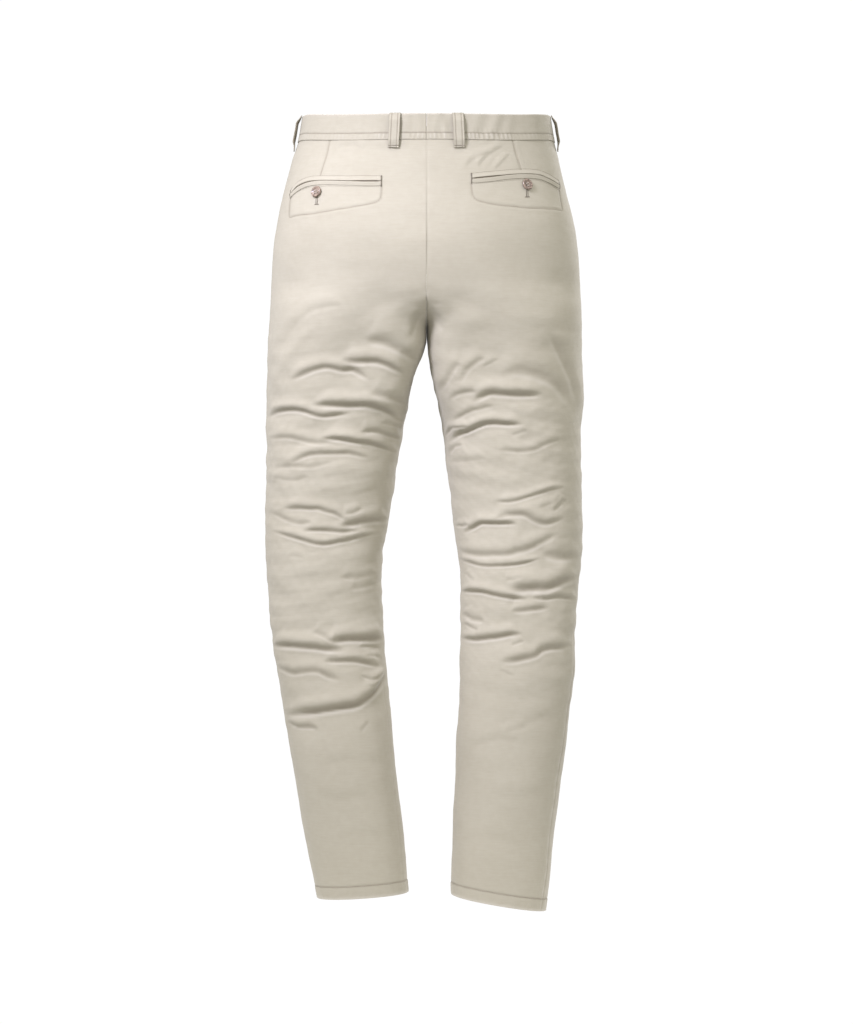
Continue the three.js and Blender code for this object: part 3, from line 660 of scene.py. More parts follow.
def panelRows(leg, face):  # heights down a panel, then the hem's turn and its return inside
    hem, aboveHem = leg["hem"], leg["hem"] + panel["hemFold"] + 5
    fine = 1.0 if face == "back" else 0.66
    crotchCurve = cut["split"] + (cut["crotch"] - cut["split"]) * np.sin(np.linspace(0, front, round(46 * fine)))
    spans = ((bandSeam - cut["gap"], -125, 90), (-125, cut["split"], 24),
             (cut["crotch"], -300, 30), (-300, -760, 330), (-760, aboveHem, 84))
    parts = [np.linspace(top, low, round(count * fine))[:-1] for top, low, count in spans]
    down = np.concatenate([*parts[:2], crotchCurve[:-1], *parts[2:], np.linspace(aboveHem, hem, 20)])
    t = np.linspace(0, math.pi, 6)[1:]
    up = np.linspace(hem, hem + panel["hemReturn"], 8)[1:]
    rows = np.concatenate([down, hem - 0.8 * np.sin(t), up])
    inwards = np.concatenate([np.zeros(len(down)), 0.8 * (1 - np.cos(t)), np.full(len(up), 1.6)])
    return rows, inwards, len(down)


def mouthInset(z):
    return panel["slantTop"] * np.clip((z - bandSeam + panel["slantDepth"]) / panel["slantDepth"], 0, 1) ** 0.9


def frontEdge(leg, z):  # the front panel's side edge follows the slanted pocket mouth
    outseam = side + float(ringAt(leg, z, "turned"))
    inset = float(mouthInset(z))
    return angleAfter(leg, outseam, z, -inset) if inset > 0 else outseam


def panelAngles(leg, rows, face, columns):
    u = np.linspace(0, 1, columns)
    out = []
    for z in rows:
        start, turned = float(ringAt(leg, z, "start")), float(ringAt(leg, z, "turned"))
        edge, closed = (side + turned, turn + turned) if face == "back" else (frontEdge(leg, z), turned)
        way = np.sign(closed - edge)
        first = angleAfter(leg, edge, z, way * panel["seam"] / 2)
        last = angleAfter(leg, closed - way * start, z, -way * panel["seam"] / 2)
        crowding = np.clip(0.5 + 0.5 * front / max(start, 0.01), 1, 4)
        angle, length = arcTable(leg, z, first, closed, 160)
        out.append(np.interp(u * length[-1], length, angle) + (last - closed) * u**crowding)
    return np.array(out)


def gridNormal(grid, outward):
    down, around = np.gradient(grid, axis=0), np.gradient(grid, axis=1)
    return unit(np.cross(down, around)) * outward


def backAngleAt(leg, z, distance):
    return angleAfter(leg, turn - float(ringAt(leg, z, "start")), z, -distance)


def mouthZ(name, run):
    return along(mouths[name], 1, np.asarray(run, float))


def backPlace(name, run, drop):  # angle and height on the back, from a place by the pocket mouth
    leg = legs[name]
    z = float(mouthZ(name, run)) - drop
    return backAngleAt(leg, z, pocket["fromCentre"] + run), z


def backDartAngle(leg, x, z):  # the angle at which the back's skin has this reach from the middle
    angles = np.linspace(side + 0.05, turn - float(ringAt(leg, z, "start")), 240)
    reach = skin(leg, angles, np.full(240, float(z)))[:, 0]
    return float(np.interp(-x, -reach, angles))


def bagPath(name):
    places = [backPlace(name, r, d) for r, d in smoothPath(bagOutline[name], 66)]
    return np.array(places).T


def makePanel(name, face):
    leg = legs[name]
    rows, inwards, outside = panelRows(leg, face)
    columns = panel["backColumns" if face == "back" else "frontColumns"]
    angle = panelAngles(leg, rows, face, columns)
    z = np.repeat(rows[:, None], columns, axis=1)
    flat = skin(leg, angle, z)
    run = lengthAlong(flat)
    fromEnd = run[:, -1:] - run
    grid = folded(leg, angle, z)
    normal = gridNormal(grid, 1 if face == "back" else -1)
    normal[outside:] = normal[outside - 2]
    out = -np.repeat(inwards[:, None], columns, axis=1)
    flatNormal = normalOf(skin, leg, angle, z)
    # painted shade in the creases, and a painted highlight along their lower rims
    paintedShade, wearAndHighlight = creaseMask(leg, flat, flatNormal, shadowShape, 0.62), creaseMask(leg, flat, flatNormal, highlightRimShape, 0.5)
    # the edges roll in at the seams, over pressed allowances; painted shade lies in the seam line, and the allowances'
    # ridges are worn pale
    for distance, allowance, roll, shadow in ((run, 0.3, 0.5, 0.22), (fromEnd, 0.08, 0.12, 0.07)):
        fine = ease((z - leg["hem"] - 2) / 12)
        wavy = 0.5 + 0.5 * np.sin(z / 4.1 + 2 * np.sin(z / 17))
        out -= roll * bell(distance, 1.5)
        out += fine * allowance * ease(distance / 2.5) * ease((13 - distance) / 3) * (0.7 + 0.3 * wavy)
        paintedShade = np.maximum(paintedShade, shadow * bell(distance, 1.2))
        wearAndHighlight = np.maximum(wearAndHighlight, allowance * bell(distance - 3, 2.2) * wavy)
    hemLine = leg["hem"] + panel["hemFold"]
    roping = np.sin(run / 3.3 + 1.5 * np.sin(run / 21))  # the hem's fine diagonal puckers
    band = ease((hemLine - z) / 1.5)
    out += band * (0.35 + 0.26 * roping * ease((z - leg["hem"]) / 4)) - 0.5 * bell(z - hemLine, 1.3)
    # painted shade along the hem's fold line, and the folded edge below worn pale
    paintedShade = np.maximum(paintedShade, 0.4 * bell(z - hemLine, 1.1))
    wearAndHighlight = np.maximum(wearAndHighlight, 0.45 * bell(z - leg["hem"], 2.2))
    out -= 0.3 * bell(z - bandSeam, 1.6)  # tucks under the waistband
    # painted shade just under the waistband
    paintedShade = np.maximum(paintedShade, 0.1 * bell(z - bandSeam, 1.5))
    if face == "back":
        x, height = flat[..., 0], flat[..., 2]
        out += onLine(darts[name], x, height, 12, seamLine(0.55, 1.2, -0.3 if name == "left" else 0.3))
        # painted shade in the dart's crease
        paintedShade = np.maximum(paintedShade, onLine(darts[name], x, height, 5, lambda d, t: 0.35 * bell(d, 1.3)))
        bag = skin(leg, *bagPath(name))[:, [0, 2]]
        lo, hi = bag.min(axis=0) - 8, bag.max(axis=0) + 8
        near = (x > lo[0]) & (x < hi[0]) & (height > lo[1]) & (height < hi[1])
        d, _ = nearPath(bag, x[near], height[near])
        out[near] -= 0.4 * bell(d, 1.5)
        out[near] += 0.22 * bell(np.abs(d) - 3.2, 2.2) * (0.6 + 0.4 * np.sin(run[near] / 3.7))
        # painted shade in the groove of the bag's outline
        paintedShade[near] = np.maximum(paintedShade[near], 0.3 * bell(d, 1.4))
        for depth, width, path in backDrags[name]:
            out += onLine(path, x, height, 4 * width, creaseShape(depth, width, 60))
    else:
        mouth = ease((z - bandSeam + panel["slantDepth"] + 6) / 12)
        out -= mouth * 0.25 * bell(run - 6.5, 1.4)
        if name == "left":  # fly stitching
            x, height = flat[..., 0], flat[..., 2]
            out += onLine(flyLine, x, height, 6, seamLine(0.3, 1.3))
    grid = grid + normal * out[..., None]
    grid[..., 0] = np.maximum(grid[..., 0] - 0.5 * ease((z - cut["meetTo"]) / 10), panel["seam"] / 2)
    flip = (leg["sign"] < 0) != (face == "front")
    world = toWorld(leg, grid)
    obj = makeMesh(f"{face}Panel{name.capitalize()}", world, cotton, flatUv(world), flip)
    addMask(obj, "wearAndHighlight", wearAndHighlight)
    addMask(obj, "paintedShade", paintedShade)
    down, around = np.diff(flat, axis=0)[:, :-1], np.diff(flat, axis=1)[:-1]
    return obj, float(np.linalg.norm(np.cross(down, around), axis=2).sum()) / 1e6


backDrags = {  # soft pulls from the waistband towards the pockets
    "left": [(0.9, 7, [(118, -34), (98, -30), (80, -38)]), (0.6, 8, [(74, -30), (50, -38), (20, -34)])],
    "right": [(1.3, 4.5, [(66, -62), (80, -45), (102, -30)]), (0.9, 4.5, [(50, -63), (62, -50), (86, -39)]),
              (0.8, 3.6, [(88, -64), (98, -54), (110, -40)]), (0.4, 3, [(76, -64), (82, -58), (90, -46)])],
}
flyLine = [(38, -17), (38, -60), (38, -120), (34, -146), (22, -164), (4, -176)]

panels = {}
for legName in ("left", "right"):
    for face in ("back", "front"):
        panels[face, legName], area = makePanel(legName, face)
        panels[face, legName]["area"] = area
        print(f"{face} panel {legName}: {len(panels[face, legName].data.polygons)} faces, {area:.3f} square metres")


# Pocket facings and the fly shield
def makeFacing(name):
    leg = legs[name]
    rows = np.linspace(bandSeam - cut["gap"], bandSeam - panel["slantDepth"] + 1, 110)
    u = np.linspace(0, 1, 44)
    angle, shown = [], []
    for z in rows:
        mouth = frontEdge(leg, z)
        a = angleAfter(leg, mouth, z, -panel["facingUnder"])
        b = angleAfter(leg, side, z, -cut["gap"] / 2)
        angle.append(a + (b - a) * u)
        shown.append(float(mouthInset(z)) * np.clip((angle[-1] - mouth) / max(b - mouth, 1e-4), 0, 1))
    angle, shown = np.array(angle), np.array(shown)
    z = np.repeat(rows[:, None], len(u), axis=1)
    out = -panel["facingDepth"] * (1 - ease(shown / (panel["slantTop"] * 0.6)))
    out -= 0.5 * bell((u - 1) * 40, 1.5)[None, :]
    grid = folded(leg, angle, z)
    grid = grid + normalOf(folded, leg, angle, z) * out[..., None]
    world = toWorld(leg, grid)
    obj = makeMesh(f"pocketFacing{name.capitalize()}", world, cotton, flatUv(world), leg["sign"] < 0)
    addMask(obj, "wearAndHighlight", np.zeros(z.shape))
    # painted shade where the facing goes in under the panel's slanted edge
    addMask(obj, "paintedShade", 0.25 * ease((4 - shown) / 4))
    return bakeModifiers(thicken(obj, cut["layer"]))


shield = dict(length=165, reach=38, narrowing=0.45, past=10)


def makeFlyShield():
    leg = legs["right"]
    rows = np.linspace(bandSeam - cut["gap"], bandSeam - shield["length"], 60)
    u = np.linspace(0, 1, 24)
    narrow = 1 - shield["narrowing"] * ease((np.linspace(0, 8, 60) - 5) / 3)
    edge = np.array([angleAfter(leg, front, z, -shield["reach"] * n) for z, n in zip(rows, narrow)])
    past = np.array([angleAfter(leg, front, z, shield["past"]) for z in rows])
    angle = edge[:, None] * (1 - u) + past[:, None] * u
    z = np.repeat(rows[:, None], len(u), axis=1)
    grid = cloth(leg, angle, z, np.full(z.shape, -cut["layer"] - 3 * cut["gap"]), True)
    world = toWorld(leg, grid)
    obj = makeMesh("flyShield", world, cottonPlain, flatUv(world), True)
    return bakeModifiers(thicken(obj, cut["layer"]))


facings = {n: makeFacing(n) for n in legs}
flyShield = makeFlyShield()
print("pocket facings and fly shield made")


# Waistband: swept with a rounded section, and puckered below its stitching
waistband = dict(stitchRise=8.6, puckerPitch=6.1, overlap=14, underlap=26)
puckers = {  # (from, to, depth) round from the centre back
    "left": [(0, 26, 0.34), (36, 66, 0.4), (66, 430, 0.13)],
    "right": [(0, 30, 0.38), (46, 116, 0.66), (116, 430, 0.18)],
}
buckles = {  # soft upright waves: (distance from the centre back, lean, depth, width)
    "left": [(8, 0.1, 0.5, 6), (30, -0.3, 0.6, 6), (62, 0.2, 0.5, 7), (118, 0.1, 0.4, 10), (180, 0, 0.4, 12)],
    "right": [(10, 0.2, 0.7, 5), (24, -0.2, 0.8, 5), (60, 0.4, 0.8, 8), (84, 0.5, 1.0, 8), (106, 0.2, 0.7, 8),
              (150, 0.1, 0.6, 12)],
}


def bandRelief(name, s, z):
    lift = np.zeros(s.shape)
    stitch = bandSeam + waistband["stitchRise"]
    below = ease((z - bandSeam + 0.5) / 2.5) * ease((stitch - z + 0.6) / 2)
    above = 0.45 * ease((stitch + 9 - z) / 8) * ease((z - stitch) / 1.5)
    window = np.where(z < stitch, below, above)
    wave = np.cos(2 * math.pi * (s + 1.3 * np.sin(s / 9.0) + 0.12 * (z - bandSeam)) / waistband["puckerPitch"])
    for a, b, depth in puckers[name]:
        mask = ease((s - a) / 5) * ease((b - s) / 5)
        lift += mask * depth * wave * window
    for a, lean, depth, width in buckles[name]:
        d = (s - a - lean * (z - stitch)) / width
        lift += depth * (bell(d, 1) - 0.6 * bell(d - 1.5, 1)) * (0.25 + 0.75 * ease((z - bandSeam) / 12))
    return lift - 0.32 * bell(z - stitch, 0.9)


def bandSection():  # round the band's section: (out, height), and how far it is on the outer face
    r, w = 1.0, cut["bandWall"]
    outer = [(0, z) for z in np.linspace(bandSeam + 0.1, bandTop - r, 36)]
    over = [(-w / 2 + w / 2 * math.cos(t), bandTop - r + r * math.sin(t)) for t in np.linspace(0.3, math.pi - 0.3, 6)]
    inner = [(-w, z) for z in np.linspace(bandTop - r, bandSeam + 0.4, 8)]
    under = [(-w + 0.5, bandSeam), (-0.2, bandSeam - 0.1)]
    points = np.array(outer + over + inner + under)
    return points, np.array([1.0] * len(outer) + [1, 0.9, 0.6, 0.3, 0.1, 0] + [0.0] * len(inner) + [0, 0.5])


def makeWaistband(name):
    leg = legs[name]
    isLeft = name == "left"
    start = angleAfter(leg, front, 0, -(waistband["overlap"] if isLeft else waistband["underlap"]))
    end = angleAfter(leg, back, 0, -cut["gap"] / 2)
    angle, length = arcTable(leg, 0, start, end, 600)
    s = np.linspace(0, length[-1], 290)
    angle = np.interp(s, length, angle)
    fromBack = length[-1] - s
    points, face = bandSection()
    dip = np.zeros(len(s))
    if not isLeft:
        past = waistband["underlap"]
        dip = ease((past + 45 - s) / (45 - waistband["overlap"] - 6))
    a = np.repeat(angle[:, None], len(points), axis=1)
    z = np.repeat(points[None, :, 1], len(s), axis=0)
    grid = folded(leg, a, z)
    normal = normalOf(folded, leg, a, z)
    out = cut["bandProud"] + points[None, :, 0] - dip[:, None] * (cut["bandWall"] + cut["gap"])
    wave = bandRelief(name, np.repeat(fromBack[:, None], len(points), axis=1), z)
    out = out + wave * np.clip(face[None, :] + 0.35, 0, 1) * ease(s[:, None] / 20)
    grid = grid + normal * out[..., None]
    world = toWorld(leg, grid)
    uv = np.stack([np.repeat(s[:, None], len(points), axis=1) / 100, z / 100], axis=-1)
    obj = makeMesh(f"waistband{name.capitalize()}", world, cotton, uv, False, closed=True)
    capEnds(obj, len(s), len(points))
    stitch = bandSeam + waistband["stitchRise"]
    # painted shade in the stitch line, at the seam and in the puckers' hollows; the top edge worn pale, and the
    # puckers' crests a painted highlight
    paintedShade = np.maximum(0.42 * bell(z - stitch, 0.9), 0.1 * bell(z - bandSeam, 0.9))
    paintedShade = np.maximum(paintedShade, 0.25 * np.clip(-wave, 0, 1) * (z < stitch))
    wearAndHighlight = 0.5 * bell(z - bandTop, 1.4) + 0.4 * np.clip(wave, 0, 1) * (z < stitch)
    addMask(obj, "wearAndHighlight", wearAndHighlight * face[None, :])
    addMask(obj, "paintedShade", paintedShade * face[None, :])
    return obj, float(length[-1]) / 1000


def capEnds(obj, rows, columns):  # closes a swept piece and turns every face outwards
    bm = bmesh.new()
    bm.from_mesh(obj.data)
    bm.verts.ensure_lookup_table()
    bm.faces.new([bm.verts[j] for j in range(columns)])
    bm.faces.new([bm.verts[(rows - 1) * columns + j] for j in reversed(range(columns))])
    bmesh.ops.recalc_face_normals(bm, faces=bm.faces)
    if bm.calc_volume(signed=True) < 0:
        bmesh.ops.reverse_faces(bm, faces=bm.faces)
    bm.to_mesh(obj.data)
    bm.free()


waistbands = {}
for legName in legs:
    waistbands[legName], length = makeWaistband(legName)
    waistbands[legName]["length"] = length
    print(f"waistband {legName}: {length:.3f} m long")


# Straps: belt loops and pocket welts, swept with a soft rectangular section
def strapSection(width, thick, dimples=()):
    r = min(thick * 0.45, 0.6)
    across = np.linspace(-width / 2 + r, width / 2 - r, max(6, int(width / 0.5)))
    top = [(x, thick - sum(0.28 * bell(x - d, 0.7) for d in dimples)) for x in across]
    right = [(width / 2 - r + r * math.cos(t), thick - r + r * math.sin(t)) for t in (1.05, 0.5)]
    right.append((width / 2, thick * 0.35))
    bottom = [(x, 0) for x in across[::-1][::2]]
    left = [(-x, y) for x, y in right[::-1]]
    return np.array(top + right + bottom + left)


# the section lies across the strap's path
def sweepStrap(name, leg, angles, heights, lifts, section, material, tilt=0.0):
    middle = folded(leg, angles, heights)
    normal = normalOf(folded, leg, angles, heights)
    across = unit(np.cross(normal, unit(np.gradient(middle, axis=0))))
    tilts = tilt * np.clip((lifts - lifts.min()) / max(float(np.ptp(lifts)), 1e-6), 0, 1)
    sideways = section[None, :, :1]
    rise = section[None, :, 1:] + lifts[:, None, None] + tilts[:, None, None] * sideways
    grid = middle[:, None] + across[:, None] * sideways + normal[:, None] * rise
    length = lengthAlong(skin(leg, angles, heights))
    uv = np.stack(np.broadcast_arrays(section[None, :, 0], length[:, None]), axis=-1) / 100
    obj = makeMesh(name, toWorld(leg, grid), material, uv, False, closed=True)
    capEnds(obj, len(angles), len(section))
    return obj


loops = dict(width=14.5, wall=1.6, standOff=3.2, drop=12, rowAt=3.9)
loopPlaces = {"Back": (back, -41), "Side": (side, 10), "Front": (front, 92)}  # measured round from each quarter
loopBow = {"Back": 0, "Side": 0.8, "Front": 0.4}  # how far each one has been pulled out by a belt
loopTwist = {"Back": -0.03, "Side": 0.2, "Front": 0.02}


def loopPath(leg, angle, bow, count=60):
    t = np.linspace(0, 1, count)
    z = bandTop + 0.6 + (bandSeam - loops["drop"] - bandTop - 0.6) * t
    stand = (loops["standOff"] + bow) * ease(t / 0.26) * ease((1 - t) / 0.26)
    return np.full(count, angle), z, cut["bandProud"] + cut["gap"] + stand


def makeLoop(name, place):
    leg = legs[name]
    start, distance = loopPlaces[place]
    angle = angleAfter(leg, start, 0, distance)
    section = strapSection(loops["width"], loops["wall"], dimples=(-loops["rowAt"], loops["rowAt"]))
    angles, heights, lifts = loopPath(leg, angle, loopBow[place])
    loopName = f"beltLoop{place}{name.capitalize()}"
    obj = sweepStrap(loopName, leg, angles, heights, lifts, section, cotton, loopTwist[place])
    edge, seen = loops["width"] / 2, 0.4
    # painted shade on the stitch rows and the edges, and over the underside that faces the band
    lines = [max(bell(abs(x) - loops["rowAt"], 0.6), bell(abs(x) - edge, 0.5)) if y > seen else 0.3 for x, y in section]
    addMask(obj, "paintedShade", 0.5 * np.tile(lines, len(angles)))
    addMask(obj, "wearAndHighlight", np.zeros(len(angles) * len(lines)))
    return obj, angle


beltLoops = {}
loopAngles = {}
for legName in legs:
    for place in loopPlaces:
        beltLoops[place, legName], loopAngles[place, legName] = makeLoop(legName, place)
print("belt loops made")


gapes = {"left": [(0, 0.2), (6, 1.5), (26, 1.6), (40, 0.5), (88, 0.4), (104, 1.3), (128, 1.7), (142, 0.3)],
         "right": [(0, 0.2), (5, 1.5), (28, 1.8), (44, 0.6), (84, 0.4), (118, 0.5), (142, 0.2)]}


def makeWelt(name, upper):
    leg = legs[name]
    runs = np.linspace(0, pocket["length"], 90)
    gape = np.interp(runs, *np.array(gapes[name]).T)
    rise = gape * (0.35 if upper else 0.65) + pocket["welt"] / 2
    places = [backPlace(name, r, -d if upper else d) for r, d in zip(runs, rise)]
    section = strapSection(pocket["welt"], cut["layer"] - 0.1)
    inner = section[:, 0] * (1 if upper else -1) / pocket["welt"] + 0.5
    section[:, 1] *= 0.45 + 0.55 * ease(inner / 0.9)
    weltName = f"{'upper' if upper else 'lower'}Welt{name.capitalize()}"
    return sweepStrap(weltName, leg, *np.array(places).T, np.full(len(runs), 0.08), section, cottonPlain)


# a dark strip laid under the welts as painted shadow inside the pocket mouth
def makeMouthShadow(name):
    leg = legs[name]
    runs = np.linspace(1, pocket["length"] - 1, 90)
    places = np.array([backPlace(name, r, 0) for r in runs])
    section = strapSection(3.2, 0.3)
    return sweepStrap(f"pocketMouthShadow{name.capitalize()}", leg, *places.T, np.full(len(runs), 0.02), section, mouthShadowCloth)


welts = {}
for legName in legs:
    welts["upper", legName], welts["lower", legName] = makeWelt(legName, True), makeWelt(legName, False)
    welts["mouth", legName] = makeMouthShadow(legName)
print("back pocket welts made")


# Buttons
button = dict(thick=2.8, around=72, holeFromMiddle=0.0021, holeRadius=0.00085)


def makeButton(name, leg, angle, z, diameter, lift, turned):
    r, thick, around = diameter / 2, button["thick"], button["around"]
    profileOf = [(0.02, 0), (0.74, 0), (0.86, 0.08), (0.96, 0.24), (1.0, 0.45), (0.995, 0.62), (0.96, 0.82), (0.9, 0.96),
                 (0.83, 1.0), (0.76, 0.97), (0.7, 0.88), (0.63, 0.74), (0.52, 0.66), (0.3, 0.62), (0.02, 0.61)]
    grid = np.array([[(r * a * math.cos(t), r * a * math.sin(t), thick * b) for a, b in profileOf]
                     for t in np.linspace(0, 2 * math.pi, around, endpoint=False)])
    grid = np.concatenate([grid, grid[:1]]) / 1000
    obj = makeMesh(name, grid, horn)
    bm = bmesh.new()
    bm.from_mesh(obj.data)
    bmesh.ops.remove_doubles(bm, verts=bm.verts, dist=0.00002)
    bmesh.ops.holes_fill(bm, edges=[e for e in bm.edges if e.is_boundary])
    bmesh.ops.recalc_face_normals(bm, faces=bm.faces)
    bm.to_mesh(obj.data)
    bm.free()
    drill = bmesh.new()
    across, hole = button["holeFromMiddle"], button["holeRadius"]
    for i in range(4):
        t = math.pi / 4 + i * math.pi / 2
        where = Matrix.Translation((across * math.cos(t), across * math.sin(t), 0.0014))
        bmesh.ops.create_cone(drill, cap_ends=True, segments=20, radius1=hole, radius2=hole, depth=0.006, matrix=where)
    holes = addObject("buttonHoles", bpy.data.meshes.new("buttonHoles"))
    drill.to_mesh(holes.data)
    drill.free()
    cutter = obj.modifiers.new("holes", "BOOLEAN")
    cutter.operation, cutter.object, cutter.solver = "DIFFERENCE", holes, "EXACT"
    bakeModifiers(obj)
    bpy.data.objects.remove(holes)
    for polygon in obj.data.polygons:
        polygon.use_smooth = True
    place = placeOn(leg, angle, z, lift, turned)
    obj.data.transform(place)
    return obj, place


def placeOn(leg, angle, z, lift, turned=0.0):  # a frame lying on the cloth: Z outwards, Y up the cloth
    seat = toWorld(leg, cloth(leg, angle, z, lift, True))
    outward = Vector(normalOf(folded, leg, angle, z) * np.array([leg["sign"], 1, 1])).normalized()
    upward = (Vector((0, 0, 1)) - outward * outward.z).normalized()
    across = upward.cross(outward)
    turnedBy = Matrix.Rotation(turned, 4, "Z")
    return Matrix(((across.x, upward.x, outward.x, seat[0]), (across.y, upward.y, outward.y, seat[1]),
                   (across.z, upward.z, outward.z, seat[2]), (0, 0, 0, 1))) @ turnedBy


buttonPlaces = {"left": dict(run=90, drop=15), "right": dict(run=77, drop=14)}
buttons, buttonFrames = {}, {}
for legName, spot in buttonPlaces.items():
    a, z = backPlace(legName, spot["run"], spot["drop"])
    made = makeButton(f"pocketButton{legName.capitalize()}", legs[legName], a, z, 15, cut["gap"] + 0.1, 0.35)
    buttons[legName], buttonFrames[legName] = made
lift = cut["bandProud"] + cut["gap"] + 0.1
buttons["waist"], buttonFrames["waist"] = makeButton("waistButton", legs["left"], front, 0.0, 17, lift, 0.2)
print("buttons made")


# Stitches: a row of small thread capsules laid along a path on the cloth
def makeStitchTree():
    tree = bpy.data.node_groups.new("stitchRow", "GeometryNodeTree")
    named = (("Geometry", "Geometry", None), ("Pitch", "Float", 0.0028), ("Length", "Float", 0.0024),
             ("Thickness", "Float", 0.0005), ("Turn", "Float", 0.0), ("Wobble", "Float", 0.08), ("Seed", "Int", 3),
             ("Thread", "Material", None))
    for name, kind, value in named:
        socket = tree.interface.new_socket(name, in_out="INPUT", socket_type=f"NodeSocket{kind}")
        if value is not None:
            socket.default_value = value
    tree.interface.new_socket("Geometry", in_out="OUTPUT", socket_type="NodeSocketGeometry")
    given = addNode(tree, "NodeGroupInput").outputs
    row = addNode(tree, "GeometryNodeMeshToCurve", {"Mesh": given["Geometry"]}).outputs["Curve"]
    spaced = addNode(tree, "GeometryNodeResampleCurve", {"Curve": row, "Length": given["Pitch"]}, mode="LENGTH")
    outward = addNode(tree, "GeometryNodeInputNamedAttribute", {"Name": "out"}, data_type="FLOAT_VECTOR")
    tangent = addNode(tree, "GeometryNodeInputTangent").outputs["Tangent"]
    turnTo = addNode(tree, "FunctionNodeAxesToRotation", {
        "Primary Axis": outward.outputs["Attribute"], "Secondary Axis": tangent}, primary_axis="Z", secondary_axis="X")
    chance = addNode(tree, "FunctionNodeRandomValue", {2: -1.0, 3: 1.0, "Seed": given["Seed"]}, data_type="FLOAT")
    wobble = calc(tree, "MULTIPLY", chance.outputs[1], given["Wobble"])
    euler = addNode(tree, "ShaderNodeCombineXYZ", {"Z": calc(tree, "ADD", wobble, given["Turn"])})
    turned = addNode(tree, "FunctionNodeRotateRotation", {
        "Rotation": turnTo.outputs["Rotation"], "Rotate By": euler.outputs["Vector"]}, rotation_space="LOCAL")
    ball = addNode(tree, "GeometryNodeMeshUVSphere", {"Segments": 6, "Rings": 4, "Radius": 0.5})
    shape = addNode(tree, "ShaderNodeCombineXYZ", {
        "X": given["Length"], "Y": given["Thickness"], "Z": given["Thickness"]})
    laid = addNode(tree, "GeometryNodeInstanceOnPoints", {
        "Points": spaced.outputs["Curve"], "Instance": ball.outputs["Mesh"],
        "Rotation": turned.outputs["Rotation"], "Scale": shape.outputs["Vector"]})
    real = addNode(tree, "GeometryNodeRealizeInstances", {"Geometry": laid.outputs["Instances"]})
    smooth = addNode(tree, "GeometryNodeSetShadeSmooth", {"Geometry": real.outputs["Geometry"]})
    dyed = addNode(tree, "GeometryNodeSetMaterial", {
        "Geometry": smooth.outputs["Geometry"], "Material": given["Thread"]})
    addNode(tree, "NodeGroupOutput", {"Geometry": dyed.outputs["Geometry"]})
    return tree


stitchTree = makeStitchTree()
surfaces = {}


def surfaceOf(obj):
    if obj.name not in surfaces:
        surfaces[obj.name] = BVHTree.FromObject(obj, bpy.context.evaluated_depsgraph_get())
    return surfaces[obj.name]


def layOn(pieces, leg, angles, heights, lift=1.4, above=0.00012):  # a path laid on the outer face of finished pieces
    angles, heights = np.atleast_1d(angles).astype(float), np.atleast_1d(heights).astype(float)
    points = toWorld(leg, cloth(leg, angles, heights, lift, True))
    normals = normalOf(folded, leg, angles, heights) * np.array([leg["sign"], 1, 1])
    laid, outs = [], []
    for point, normal in zip(points, normals):
        hits = [surfaceOf(p).find_nearest(Vector(point)) for p in pieces]
        where, _, _, _ = min(hits, key=lambda h: h[3])
        laid.append(np.array(where) + normal * above)
        outs.append(normal)
    return np.array(laid), np.array(outs)


def layPlaces(pieces, leg, places, **more):
    angles, heights = np.array(places).T
    return layOn(pieces, leg, angles, heights, **more)


sewing = {  # pitch, length and thickness of a stitch in metres, and its turn from the row
    "seam": (0.0028, 0.0023, 0.00048, 0),
    "loop": (0.0026, 0.0022, 0.00048, 0),
    "hem": (0.0031, 0.0026, 0.00048, 0),
    "dart": (0.0008, 0.0015, 0.00034, 0),
    "loopBar": (0.0005, 0.0013, 0.0004, math.pi / 2),
    "pocketBar": (0.00055, 0.0014, 0.00045, math.pi / 2),
    "mouthBar": (0.0005, 0.0014, 0.00045, math.pi / 2),
    "buttonhole": (0.00045, 0.0014, 0.0005, math.pi / 2),
    "buttonholeBar": (0.00045, 0.0015, 0.0005, math.pi / 2),
    "button": (0.0005, 0.0012, 0.00042, 0),
}
stitches = []


def sew(name, rows, kind="seam", threadMaterial=thread, wobble=0.06, seed=3):
    points, outs, edges = [], [], []
    for laid, out in rows:
        base = len(points)
        points += [tuple(p) for p in laid]
        outs += [tuple(o) for o in out]
        edges += [(base + i, base + i + 1) for i in range(len(laid) - 1)]
    mesh = bpy.data.meshes.new(name)
    mesh.from_pydata(points, edges, [])
    layer = mesh.attributes.new("out", "FLOAT_VECTOR", "POINT")
    layer.data.foreach_set("vector", np.array(outs, np.float32).reshape(-1))
    obj = addObject(name, mesh)
    sewn = obj.modifiers.new("stitches", "NODES")
    sewn.node_group = stitchTree
    identifiers = {s.name: s.identifier for s in stitchTree.interface.items_tree if s.in_out == "INPUT"}
    pitch, length, thickness, turned = sewing[kind]
    values = {"Pitch": pitch, "Length": length, "Thickness": thickness, "Turn": float(turned), "Wobble": wobble,
              "Seed": seed, "Thread": threadMaterial}
    for key, value in values.items():
        sewn[identifiers[key]] = value
    stitches.append(bakeModifiers(obj))


def bandAngles(leg, fromFront, toFront, count):  # angles at distances from the centre front
    return np.array([angleAfter(leg, front, 0, s) for s in np.linspace(fromFront, toFront, count)])


